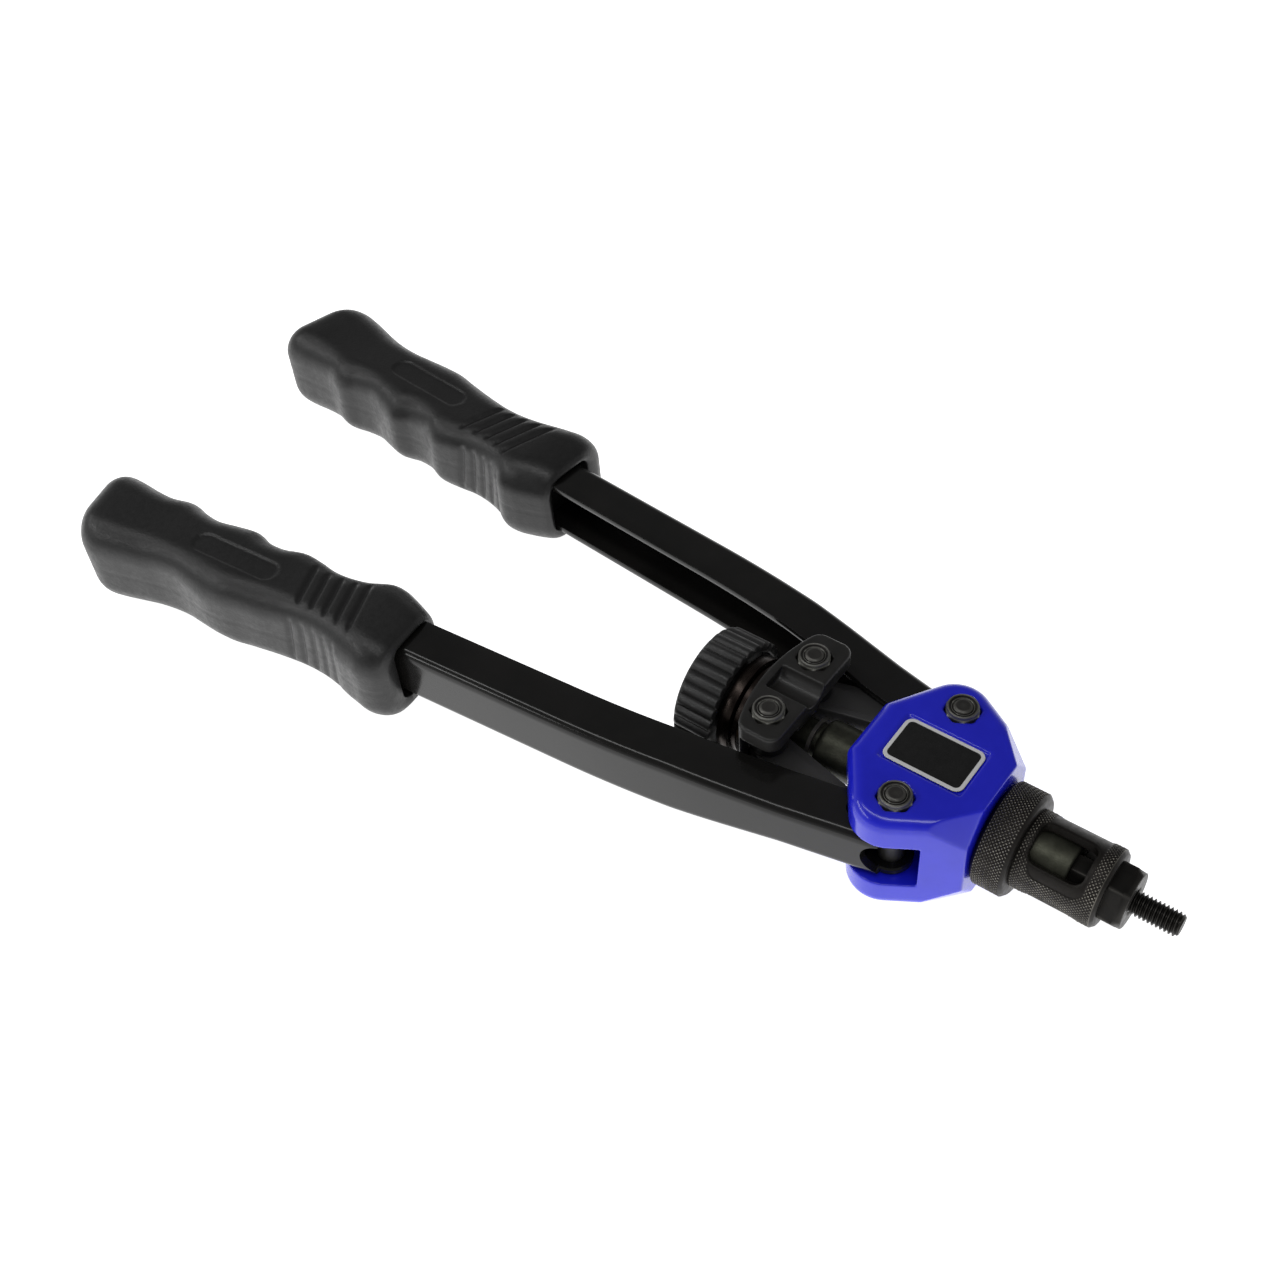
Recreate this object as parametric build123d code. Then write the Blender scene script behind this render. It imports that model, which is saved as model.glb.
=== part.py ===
from build123d import *
import os
from math import cos, radians, sin, tan

# Two-handed setting tool for threaded rivets, arms closed. Millimetres.
# Origin: centre of the anvil's front face. +X along the tool axis towards the work, +Z up,
# +Y to the left arm. The tool is mirror-symmetric about the XZ plane, except that the two grips
# are pushed on by slightly different amounts, and about the XY plane, fasteners and grips apart.

# ---- driving dimensions: stations along the tool axis -----------------------------------
MANDREL_TIP = 11.6
ANVIL_REAR = -5.4            # back of the anvil's hexagon = front face of the nose sleeve
SLEEVE_SHOULDER = -26.5      # where the knurled body of the sleeve begins
RING_REAR = -35.1
HEAD_FRONT = -35.4
SLOT_FRONT = -44.7           # end of the slot that the arms swing in
PIVOT_X = -54.0
HEAD_REAR = -71.2
YOKE_FRONT = -85.4
YOKE_BOLT_X = -92.4
YOKE_REAR = -100.0           # rear wall, at its middle
KNOB_FRONT = -106.6
KNOB_REAR = -118.1

# ---- head ------------------------------------------------------------------------------
PIVOT_Y = 15.6               # half the distance between the two arm pivots
HEAD_HALF_H = 16.6
SLOT_HALF_H = 7.4
LOBE_R = 9.1                 # rounded lobe around each pivot
LOBE_X = PIVOT_X - 1.6
HEAD_FILLET = 3.7
LABEL_SIZE = (21.2, 13.8)
LABEL_X = PIVOT_X + 1.1
LABEL_RECESS = 0.6

# ---- nose ------------------------------------------------------------------------------
RING_R = 13.55
SLEEVE_R = 10.15
SLEEVE_BORE_R = 8.0
SHANK_R = 9.0                # threaded shank of the sleeve, M18
CHUCK_R = 7.2
ANVIL_AF = 14.4
MANDREL_R = 3.0              # M6
ROD_R = 4.5
ROD_THICK_R = 6.8            # the stretch that slides in the head's guide bush
GUIDE_R = 8.3                # outside of that bush

# ---- arms ------------------------------------------------------------------------------
SHEET = 2.0                  # thickness of the arms' pressed steel
ARM_W = 12.6                 # flange width
ARM_HALF_H = 8.7             # half height at the grips
NECK_HALF_H = 7.0            # half height inside the head
ARM_KNEE = (-114.2, 35.8)    # outer corner of the bend, before rounding
FRONT_ANGLE = 11.8           # splay of the front stretch, degrees
REAR_ANGLE = 4.87            # splay of the gripped stretch
KNEE_R = 400.0
GRIP_START = -187.0
ARM_END = -290.0

# ---- linkage ---------------------------------------------------------------------------
YOKE_BOLT_Y = 10.2
LINK_PIN = (-9.0, 1.5)       # link pin on the left arm, from the pivot
LINK_HALF_T = 3.7
LINK_LENGTH = 29.894         # bolt to the centre of the clearance hole
LINK_ANGLE = 13.713          # lie of the link with the arms closed, degrees
BOLT_R = 2.5
BUSH_R = 3.3
NUT_AF = 8.0
NUT_POCKET = 3.4
NUT_PROUD = 1.6


def box(x0, x1, y0, y1, z0, z1):
    return Pos((x0 + x1) / 2, (y0 + y1) / 2, (z0 + z1) / 2) * Box(x1 - x0, y1 - y0, z1 - z0)


def rod_x(x0, x1, r, y=0.0, z=0.0):
    return Pos((x0 + x1) / 2, y, z) * Rot(0, 90, 0) * Cylinder(r, x1 - x0)


def rod_z(x, y, z0, z1, r):
    return Pos(x, y, (z0 + z1) / 2) * Cylinder(r, z1 - z0)


def hex_z(x, y, z0, z1, flats, turn=0.0):
    section = Pos(x, y, z0) * Rot(0, 0, turn) * RegularPolygon(flats / 2, 6, major_radius=False)
    return extrude(section, amount=z1 - z0, dir=(0, 0, 1))


def hex_x(x0, x1, flats, turn=0.0):
    section = Plane.YZ.offset(x0) * Rot(0, 0, turn) * RegularPolygon(flats / 2, 6, major_radius=False)
    return extrude(section, amount=x1 - x0, dir=(1, 0, 0))


def mirrored(shape):
    """The right-hand twin of a left-hand piece."""
    return mirror(shape, about=Plane.XZ)


def write(name, *solids):
    shape = solids[0] if len(solids) == 1 else Compound(children=[s.solid() for s in solids])
    export_step(shape, f"parts/{name}.step")


# ---- head ------------------------------------------------------------------------------
FACE_HALF_W = 14.3           # half width of the head's front face
REAR_HALF_W = 8.5            # half width of its rear wall
FACET_TOP_Y = 7.6            # front end of the sloping shoulder, on the top face
FACET_LOW_Z = 8.2            # the same shoulder's lower end, on the front face


def head_blank():
    lobes = [Pos(LOBE_X, side * PIVOT_Y) * CenterArc((0, 0), LOBE_R, 0, 360) for side in (1, -1)]
    front = Line((HEAD_FRONT, -FACE_HALF_W), (HEAD_FRONT, FACE_HALF_W))
    rear = Line((HEAD_REAR, -REAR_HALF_W), (HEAD_REAR, REAR_HALF_W))
    outline = make_hull([*lobes, front, rear])
    blank = extrude(Pos(0, 0, -HEAD_HALF_H) * outline, amount=2 * HEAD_HALF_H, dir=(0, 0, 1))
    corners = blank.edges().filter_by(Axis.Z).sort_by(Axis.X)
    blank = fillet(corners[:2], 2.0)
    rim = [e for e in blank.edges() if abs(abs(e.center().Z) - HEAD_HALF_H) < 0.01]
    rim = [e for e in rim if e.center().X < HEAD_FRONT - 0.1]
    blank = fillet(rim, HEAD_FILLET)
    for side in (1, -1):
        for up in (1, -1):
            blank -= shoulder_cut(side, up)
    return blank


def shoulder_cut(side, up):
    """Material outside the sloping shoulder that leads from the lobe to the lock ring."""
    back = Vector(PIVOT_X + 9.4, side * 19.2, up * (HEAD_HALF_H - 1.2))
    top = Vector(HEAD_FRONT, side * FACET_TOP_Y, up * HEAD_HALF_H)
    low = Vector(HEAD_FRONT, side * FACE_HALF_W, up * FACET_LOW_Z)
    normal = (top - back).cross(low - back).normalized()
    if normal.Z * up < 0:
        normal = -normal
    above = (Align.CENTER, Align.CENTER, Align.MIN)
    return Plane(origin=(back + top + low) / 3, z_dir=normal) * Box(60, 60, 20, align=above)


def head_body():
    body = head_blank()
    body -= box(HEAD_REAR - 5, SLOT_FRONT, -40, 40, -SLOT_HALF_H, SLOT_HALF_H)
    body -= rod_x(SLOT_FRONT - 1, HEAD_FRONT - 6, GUIDE_R)
    body -= rod_x(HEAD_FRONT - 6.2, HEAD_FRONT + 1, SHANK_R)
    body -= box(LABEL_X - LABEL_SIZE[0] / 2 - 0.5, LABEL_X + LABEL_SIZE[0] / 2 + 0.5,
                -LABEL_SIZE[1] / 2 - 0.5, LABEL_SIZE[1] / 2 + 0.5, HEAD_HALF_H - LABEL_RECESS, 30)
    for side in (1, -1):
        y = side * PIVOT_Y
        body -= rod_z(PIVOT_X, y, -30, 30, BOLT_R)
        body -= hex_z(PIVOT_X, y, HEAD_HALF_H - NUT_POCKET, 30, NUT_AF + 0.2, 30)
        body -= rod_z(PIVOT_X, y, -30, -HEAD_HALF_H + 1.2, 5.6)
    return body


def head_label():
    plate_blank = Pos(LABEL_X, 0, HEAD_HALF_H - LABEL_RECESS + 0.25) * Box(*LABEL_SIZE, 0.5)
    return fillet(plate_blank.edges().filter_by(Axis.Z), 2.2)


# ---- fasteners -------------------------------------------------------------------------
def nyloc_nut(x, y, top_face):
    """Self-locking nut seated in a hexagonal pocket, standing a little proud of it."""
    base = top_face - NUT_POCKET
    nut = hex_z(x, y, base, base + 3.6, NUT_AF, 30)
    collar = rod_z(x, y, base + 3.6, base + 4.6, 3.9)
    return nut + collar - rod_z(x, y, base - 1, base + 6, BOLT_R)


def pan_bolt(x, y, under_head, top_face):
    """Bolt from below with a domed socket head; its end shows above the nut."""
    shank = rod_z(x, y, under_head, top_face + NUT_PROUD - 0.2, BOLT_R)
    head = rod_z(x, y, under_head - 2.6, under_head, 4.6)
    head = fillet(head.edges().sort_by(Axis.Z)[0], 1.6)
    socket = hex_z(x, y, under_head - 3, under_head - 1.1, 3.0)
    return shank + head - socket


def washer(x, y, z0, z1, outer, inner=BOLT_R):
    return rod_z(x, y, z0, z1, outer) - rod_z(x, y, z0 - 1, z1 + 1, inner)


# ---- nose ------------------------------------------------------------------------------
WINDOW_X = (-24.2, -10.4)
WINDOW_ANGLES = (75.5, 143.5)      # one window, seen from the front; a twin lies opposite
RELIEF_X = (-23.2, -9.2)
RELIEF_ANGLES = (22.0, 162.0)
RELIEF_DEPTH = 0.35


def sector(x0, x1, a0, a1, r=20.0):
    """Wedge around the tool axis between two angles, measured from +Y towards +Z."""
    face = Plane.YZ.offset(x0) * make_face(
        [Line((0, 0), (r * cos(radians(a0)), r * sin(radians(a0)))),
         CenterArc((0, 0), r, a0, a1 - a0),
         Line((r * cos(radians(a1)), r * sin(radians(a1))), (0, 0))])
    return extrude(face, amount=x1 - x0, dir=(1, 0, 0))


def nose_sleeve():
    body = rod_x(SLEEVE_SHOULDER, ANVIL_REAR, SLEEVE_R)
    body = chamfer(body.edges().sort_by(Axis.X)[-1], 0.9)
    body += rod_x(-41.3, SLEEVE_SHOULDER, SHANK_R - 0.02)
    relief = rod_x(RELIEF_X[0], RELIEF_X[1], 20) - rod_x(-60, 20, SLEEVE_R - RELIEF_DEPTH)
    for turn in (0, 180):
        body -= relief & sector(*RELIEF_X, RELIEF_ANGLES[0] + turn, RELIEF_ANGLES[1] + turn)
    body -= rod_x(-43, -8.6, SLEEVE_BORE_R - 0.4)
    body -= rod_x(-9, 0, 6.0)
    for turn in (0, 180):
        mid = (WINDOW_ANGLES[0] + WINDOW_ANGLES[1]) / 2 + turn
        half = SLEEVE_R * sin(radians((WINDOW_ANGLES[1] - WINDOW_ANGLES[0]) / 2))
        pocket = Pos(sum(WINDOW_X) / 2, 0, 10) * Box(WINDOW_X[1] - WINDOW_X[0], 2 * half, 20)
        pocket = fillet(pocket.edges().filter_by(Axis.Z), 2.6)
        body -= Rot(mid - 90, 0, 0) * pocket
    return body


def lock_ring():
    ring = rod_x(RING_REAR, SLEEVE_SHOULDER, RING_R)
    ring = chamfer(ring.edges(), 0.8)
    return ring - rod_x(RING_REAR - 1, SLEEVE_SHOULDER + 1, SHANK_R + 0.05)


ANVIL_TURN = 2.8
ANVIL_COUNTERBORE_R = 4.9


def anvil():
    body = hex_x(ANVIL_REAR, 0, ANVIL_AF, ANVIL_TURN + 30)
    cone = Plane.XY * make_face(Polyline(
        (ANVIL_REAR - 1, 0), (0, 0), (0, 7.0), (-1.9, 8.6), (ANVIL_REAR - 1, 8.6), close=True))
    body &= revolve(cone, Axis.X)
    body += rod_x(-8.2, ANVIL_REAR, 6.0)
    body -= rod_x(-9, -3.3, ANVIL_COUNTERBORE_R)
    return body - rod_x(-9, 1, MANDREL_R + 0.3)


MANDREL_NECK_R = 2.6


def mandrel():
    body = rod_x(0, MANDREL_TIP, MANDREL_R)
    body = chamfer(body.edges().sort_by(Axis.X)[-1], 0.5)
    body += rod_x(-14.7, 0, MANDREL_NECK_R)
    return body + hex_x(-19.0, -10.2, NUT_AF, ANVIL_TURN + 30)


def mandrel_chuck():
    """Sleeve on the pull rod that grips the mandrel's hexagonal head."""
    body = rod_x(-40.0, -14.7, CHUCK_R)
    body = chamfer(body.edges().sort_by(Axis.X)[-1], 0.5)
    body -= hex_x(-19.0, -14, NUT_AF, ANVIL_TURN + 30)
    return body - rod_x(-41, -28, ROD_R)


# ---- spindle: knob, pull rod and what they carry ---------------------------------------
KNOB_R = 16.55
KNOB_RIBS = 30
ROD_STEP_X = -82.6           # rear shoulder of the thick stretch


def pull_rod():
    rod = rod_x(KNOB_REAR - 1.5, -28.0, ROD_R)
    thick = rod_x(ROD_STEP_X, -40.3, ROD_THICK_R)
    rod += chamfer(thick.edges(), 0.4)
    return rod - rod_x(KNOB_REAR - 2, KNOB_REAR + 12, 2.5)


def control_knob():
    body = rod_x(KNOB_REAR, KNOB_FRONT, KNOB_R)
    body = fillet(body.edges(), 0.8)
    groove = rod_x(KNOB_REAR + 0.9, KNOB_FRONT + 1, 0.62, y=KNOB_R + 0.12)
    for index in range(KNOB_RIBS):
        body -= Rot(360 / KNOB_RIBS * index, 0, 0) * groove
    recess = rod_x(KNOB_FRONT - 3.2, KNOB_FRONT + 1, KNOB_R - 2.6)
    body -= recess - rod_x(KNOB_FRONT - 4, KNOB_FRONT + 1, 9.0)
    body -= rod_x(KNOB_REAR - 1, KNOB_REAR + 3.0, 8.0)
    return body - rod_x(KNOB_REAR - 2, KNOB_FRONT + 1, ROD_R)


def knob_washer():
    return rod_x(KNOB_REAR + 1.6, KNOB_REAR + 3.0, 7.4) - rod_x(KNOB_REAR, KNOB_FRONT, ROD_R)


def knob_screw():
    head = rod_x(KNOB_REAR - 1.0 - 2.4, KNOB_REAR - 1.5, 4.6)
    head = fillet(head.edges().sort_by(Axis.X)[0], 1.2)
    return head + rod_x(KNOB_REAR - 1.5, KNOB_REAR + 11, 2.5) - hex_x(KNOB_REAR - 4, KNOB_REAR - 2.2, 3.0)


def rod_circlip():
    """Retaining ring in front of the yoke, holding the pull rod in its bush."""
    ring = rod_x(YOKE_FRONT + 0.4, YOKE_FRONT + 1.4, 5.8) - rod_x(YOKE_FRONT, YOKE_FRONT + 3, ROD_R)
    return ring - box(YOKE_FRONT, YOKE_FRONT + 3, -1.6, 1.6, -8, -2)


# ---- yoke ------------------------------------------------------------------------------
YOKE_HALF_H = 16.3
YOKE_HALF_W = 18.4
PAD_INNER = 4.0
PAD_T = 4.6
SADDLE_DROP = 3.2
EYE_R = 4.8                  # spacer bosses round the yoke bolts
YOKE_WALL_X = -95.6          # front of the rear wall
REAR_BOW_R = 46.0            # the rear wall bows backwards
WEB_LOW = 5.6                # underside of the middle web
YOKE_BUSH_R = 6.2
BUSH_DEPTH = 1.6             # the bush sits in the yoke's rear wall, behind the links
YOKE_EYE_R = 4.9             # link eye on the yoke bolt


def yoke_bracket():
    """Casting behind the head: top and bottom plates with raised pads, joined by a bowed rear wall."""
    outer = box(YOKE_REAR - 1, YOKE_FRONT, -YOKE_HALF_W, YOKE_HALF_W, -YOKE_HALF_H, YOKE_HALF_H)
    outer &= rod_z(YOKE_REAR + REAR_BOW_R, 0, -40, 40, REAR_BOW_R)
    outer = fillet(outer.edges().filter_by(Axis.Z), 3.4)
    outer = chamfer([e for e in outer.edges() if abs(abs(e.center().Z) - YOKE_HALF_H) < 0.01], 0.5)
    body = outer - box(YOKE_WALL_X, YOKE_FRONT + 1, -30, 30, -YOKE_HALF_H + PAD_T, YOKE_HALF_H - PAD_T)
    saddle_r = (PAD_INNER ** 2 + SADDLE_DROP ** 2) / (2 * SADDLE_DROP)
    for up in (1, -1):
        saddle_z = up * (YOKE_HALF_H - SADDLE_DROP + saddle_r)
        body -= rod_x(YOKE_REAR + 2.4, YOKE_FRONT + 1, saddle_r, z=saddle_z)
        low = min(up * WEB_LOW, up * (YOKE_HALF_H - PAD_T + 0.4))
        high = max(up * WEB_LOW, up * (YOKE_HALF_H - PAD_T + 0.4))
        body += box(YOKE_WALL_X - 0.4, YOKE_FRONT - 2.0, -4.6, 4.6, low, high)
        for side in (1, -1):
            low = min(up * (LINK_HALF_T + 0.3), up * (YOKE_HALF_H - PAD_T + 0.4))
            high = max(up * (LINK_HALF_T + 0.3), up * (YOKE_HALF_H - PAD_T + 0.4))
            body += rod_z(YOKE_BOLT_X, side * YOKE_BOLT_Y, low, high, EYE_R)
    for side in (1, -1):
        y = side * YOKE_BOLT_Y
        body -= rod_z(YOKE_BOLT_X, y, -LINK_HALF_T - 0.3, LINK_HALF_T + 0.3, YOKE_EYE_R + 0.5)
        body -= rod_z(YOKE_BOLT_X, y, -30, 30, BOLT_R)
        body -= hex_z(YOKE_BOLT_X, y, YOKE_HALF_H - NUT_POCKET, 30, NUT_AF + 0.2, 30)
        body -= rod_z(YOKE_BOLT_X, y, -30, -YOKE_HALF_H + 1.2, 5.6)
    body -= rod_x(YOKE_REAR - 1, YOKE_FRONT + 1, ROD_R + 0.4)
    return body - rod_x(YOKE_REAR - 1, YOKE_REAR + BUSH_DEPTH, YOKE_BUSH_R)


def yoke_bush():
    flange = rod_x(YOKE_REAR - 0.9, YOKE_REAR, 9.5)
    barrel = rod_x(YOKE_REAR, YOKE_REAR + BUSH_DEPTH, YOKE_BUSH_R)
    return flange + barrel - rod_x(YOKE_REAR - 2, YOKE_FRONT, ROD_R + 0.05)


def thrust_washer():
    return rod_x(YOKE_REAR - 2.7, YOKE_REAR - 1.2, 12.2) - rod_x(YOKE_REAR - 5, YOKE_REAR, ROD_R)


def thrust_collar():
    """Polished steel disc on the rod that pushes the thrust washer."""
    collar = rod_x(KNOB_FRONT + 0.3, YOKE_REAR - 3.0, 13.6)
    return chamfer(collar.edges(), 0.4) - rod_x(KNOB_FRONT, YOKE_REAR, ROD_R)


# ---- links and arms --------------------------------------------------------------------
PIN_X = PIVOT_X + LINK_PIN[0]
PIN_Y = PIVOT_Y + LINK_PIN[1]
LINK_PIN_R = 2.5
LINK_HOLE_R = 3.1            # clearance hole round the arm's pin
LINK_EYE_R = 5.1


def left_link():
    back_eye = CenterArc((0, 0), YOKE_EYE_R, 0, 360)
    front_eye = CenterArc((LINK_LENGTH, 0), LINK_EYE_R, 0, 360)
    blank = extrude(make_hull([back_eye, front_eye]), amount=LINK_HALF_T, both=True)
    blank -= rod_z(0, 0, -9, 9, BOLT_R + 0.05)
    blank -= rod_z(LINK_LENGTH, 0, -9, 9, LINK_HOLE_R)
    return Pos(YOKE_BOLT_X, YOKE_BOLT_Y, 0) * Rot(0, 0, LINK_ANGLE) * blank


def arm_line(offset, near_x, far_x):
    """The arm's outer wall in plan, moved inwards by offset: two straights and a large arc."""
    knee = Vector(*ARM_KNEE)
    front = Vector(cos(radians(FRONT_ANGLE)), -sin(radians(FRONT_ANGLE)))
    rear = Vector(-cos(radians(REAR_ANGLE)), sin(radians(REAR_ANGLE)))
    inner_front = Vector(-sin(radians(FRONT_ANGLE)), -cos(radians(FRONT_ANGLE)))
    half = (FRONT_ANGLE - REAR_ANGLE) / 2
    middle = Vector(-sin(radians(REAR_ANGLE + half)), -cos(radians(REAR_ANGLE + half)))
    knee = knee + middle * (offset / cos(radians(half)))
    reach = (KNEE_R - offset) * tan(radians(half))
    tangent_front = knee + front * reach
    tangent_rear = knee + rear * reach
    start = knee + front * ((near_x - knee.X) / front.X)
    end = knee + rear * ((far_x - knee.X) / rear.X)
    centre = tangent_front + inner_front * (KNEE_R - offset)
    top = centre - middle * (KNEE_R - offset)
    return start, tangent_front, top, tangent_rear, end


def strip(offset_a, offset_b, near_x, far_x):
    """Plan face of the arm between two offsets from its outer wall."""
    a = arm_line(offset_a, near_x, far_x)
    b = arm_line(offset_b, near_x, far_x)
    edges = [Line(a[0], a[1]), ThreePointArc(a[1], a[2], a[3]), Line(a[3], a[4]), Line(a[4], b[4]),
             Line(b[4], b[3]), ThreePointArc(b[3], b[2], b[1]), Line(b[1], b[0]), Line(b[0], a[0])]
    return make_face(edges)


FLANGE_EYE_R = 5.6           # rounded front end of the arm's flanges
WEB_MOUTH_X = -52.7          # centre of the round notch in the front end of the arm's web
TAPER_X = (-106.0, -78.0)    # the arm narrows from grip height to neck height


def side_profile(inset):
    """The arm seen from the side: full height at the grip, lower where it enters the head."""
    low = NECK_HALF_H - inset
    high = ARM_HALF_H - inset
    outline = Polyline((-30, low), (TAPER_X[1], low), (TAPER_X[0], high), (-320, high),
                       (-320, -high), (TAPER_X[0], -high), (TAPER_X[1], -low), (-30, -low), close=True)
    face = Plane.XZ * make_face(outline)
    return extrude(face, amount=60, both=True)


def left_arm():
    outer = extrude(strip(0, ARM_W, PIVOT_X + 0.4, ARM_END), amount=20, both=True)
    inner = extrude(strip(SHEET, ARM_W + 6, PIVOT_X + 9, ARM_END - 3), amount=20, both=True)
    flange_eye = rod_z(PIVOT_X, PIVOT_Y, -NECK_HALF_H, NECK_HALF_H, FLANGE_EYE_R)
    outer = (outer & side_profile(0)) + flange_eye
    body = outer - (inner & side_profile(SHEET))
    body -= rod_z(PIVOT_X, PIVOT_Y, -NECK_HALF_H + SHEET, NECK_HALF_H - SHEET, FLANGE_EYE_R + 0.1)
    body -= Pos(WEB_MOUTH_X, 20, 0) * Rot(90, 0, 0) * Cylinder(NECK_HALF_H - SHEET, 40)
    body -= rod_z(PIVOT_X, PIVOT_Y, -20, 20, BUSH_R)
    return body - rod_z(PIN_X, PIN_Y, -20, 20, LINK_PIN_R)


def arm_bush():
    """Turned bush welded through both flanges; the arm swings with it on the pivot bolt."""
    bush = rod_z(PIVOT_X, PIVOT_Y, -NECK_HALF_H - 0.2, NECK_HALF_H + 0.2, BUSH_R)
    return bush - rod_z(PIVOT_X, PIVOT_Y, -20, 20, BOLT_R + 0.05)


def link_pin():
    return rod_z(PIN_X, PIN_Y, -NECK_HALF_H, NECK_HALF_H, LINK_PIN_R)


# ---- grips -----------------------------------------------------------------------------
# Stations from the grip's front face to its end:
# distance, outward half width, inward half width, half height.
GRIP_STATIONS = [
    (2.8, 11.8, 8.7, 11.2),
    (4.0, 13.8, 9.8, 12.6),
    (6.2, 15.2, 10.8, 13.5),
    (10.0, 15.8, 12.3, 14.1),
    (14.0, 15.0, 13.6, 14.3),
    (18.0, 14.1, 13.8, 14.1),
    (24.0, 12.0, 10.9, 13.7),
    (30.0, 10.9, 9.7, 13.3),
    (36.0, 10.8, 9.8, 13.0),
    (42.0, 11.5, 11.2, 12.9),
    (48.0, 12.4, 12.0, 12.9),
    (54.0, 13.0, 10.2, 13.0),
    (60.0, 14.0, 10.3, 13.1),
    (66.0, 14.2, 12.2, 13.1),
    (72.0, 13.3, 11.1, 13.2),
    (78.0, 12.3, 9.7, 13.3),
    (84.0, 12.5, 10.4, 13.4),
    (90.0, 13.6, 12.1, 13.5),
    (96.0, 14.6, 10.8, 13.8),
    (102.0, 15.8, 11.0, 14.2),
    (108.0, 16.6, 11.8, 14.6),
    (112.0, 15.9, 11.8, 14.4),
    (115.0, 14.0, 10.5, 13.0),
    (117.0, 11.4, 8.4, 10.8),
    (118.2, 8.0, 5.6, 7.8),
]
GRIP_AXIS_Y = 35.8
GRIP_DROP = 1.0              # the moulding sits a little below the arm's middle
GRIP_SHIFT = 2.4             # left grip pushed on this much less than nominal, right one more
GRIP_CORNER = 0.62           # corner radius over the smaller half dimension
GRIP_END_SKEW = 0.22         # slope of the end face, longer on the inward side
SKEW_START = 88.0
MOUTH_DEPTH = 5.0


def left_grip(shift):
    """Moulded grip lofted over the arm; shift moves it rearwards along the arm."""
    lean = radians(REAR_ANGLE)
    rearward = Vector(-cos(lean), sin(lean), 0)
    outward = Vector(sin(lean), cos(lean), 0)
    start = Vector(GRIP_START, GRIP_AXIS_Y, -GRIP_DROP) + rearward * shift
    sections = []
    for distance, out_w, in_w, half_h in GRIP_STATIONS:
        skew = GRIP_END_SKEW * max(0.0, distance - SKEW_START) / 30
        across = (outward - rearward * skew).normalized()
        normal = Vector(0, 0, 1).cross(across)
        frame = Plane(origin=start + rearward * distance, x_dir=across, z_dir=normal)
        corner = GRIP_CORNER * min((out_w + in_w) / 2, half_h)
        section = RectangleRounded(out_w + in_w, 2 * half_h, corner)
        sections.append(frame * Pos((out_w - in_w) / 2, 0, 0) * section)
    body = loft(sections)
    front = start.X - MOUTH_DEPTH - 2.8
    socket = strip(-0.02, ARM_W + 0.02, front + 30, ARM_END - 0.1)
    socket = extrude(socket, amount=ARM_HALF_H + 0.02, both=True)
    mouth = strip(-1.6, ARM_W + 0.8, front + 30, front)
    mouth = extrude(mouth, amount=ARM_HALF_H + 0.8, both=True)
    return body - socket - mouth


def main():
    os.makedirs("parts", exist_ok=True)
    write("head_body", head_body())
    write("head_label", head_label())
    pivots = [(PIVOT_X, side * PIVOT_Y) for side in (1, -1)]
    yoke_bolts = [(YOKE_BOLT_X, side * YOKE_BOLT_Y) for side in (1, -1)]
    for name, places, half_h in (("head", pivots, HEAD_HALF_H), ("yoke", yoke_bolts, YOKE_HALF_H)):
        seat = -half_h + 1.2
        write(f"{name}_bolts", *[pan_bolt(x, y, seat - 0.8, half_h) for x, y in places])
        write(f"{name}_bolt_washers", *[washer(x, y, seat - 0.8, seat, 5.4) for x, y in places])
        write(f"{name}_nuts", *[nyloc_nut(x, y, half_h) for x, y in places])
    guide = rod_x(SLOT_FRONT, HEAD_FRONT - 6.6, GUIDE_R)
    write("rod_guide_bush", guide - rod_x(-60, -20, ROD_THICK_R + 0.05))
    write("nose_sleeve", nose_sleeve())
    write("lock_ring", lock_ring())
    write("anvil", anvil())
    write("mandrel", mandrel())
    write("mandrel_chuck", mandrel_chuck())
    write("pull_rod", pull_rod())
    write("control_knob", control_knob())
    write("knob_washer", knob_washer())
    write("knob_screw", knob_screw())
    write("rod_circlip", rod_circlip())
    write("yoke_bracket", yoke_bracket())
    write("yoke_bush", yoke_bush())
    write("thrust_washer", thrust_washer())
    write("thrust_collar", thrust_collar())
    for name, shape in (("link", left_link()), ("arm", left_arm()), ("arm_bush", arm_bush()),
                        ("link_pin", link_pin())):
        write(f"left_{name}", shape)
        write(f"right_{name}", mirrored(shape))
    write("left_grip", left_grip(GRIP_SHIFT))
    write("right_grip", mirrored(left_grip(-GRIP_SHIFT)))


main()
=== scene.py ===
import bpy
import bmesh
import numpy as np
from math import acos, cos, pi, radians, sin, sqrt, tan
from mathutils import Matrix, Vector
from mathutils.geometry import tessellate_polygon


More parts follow.
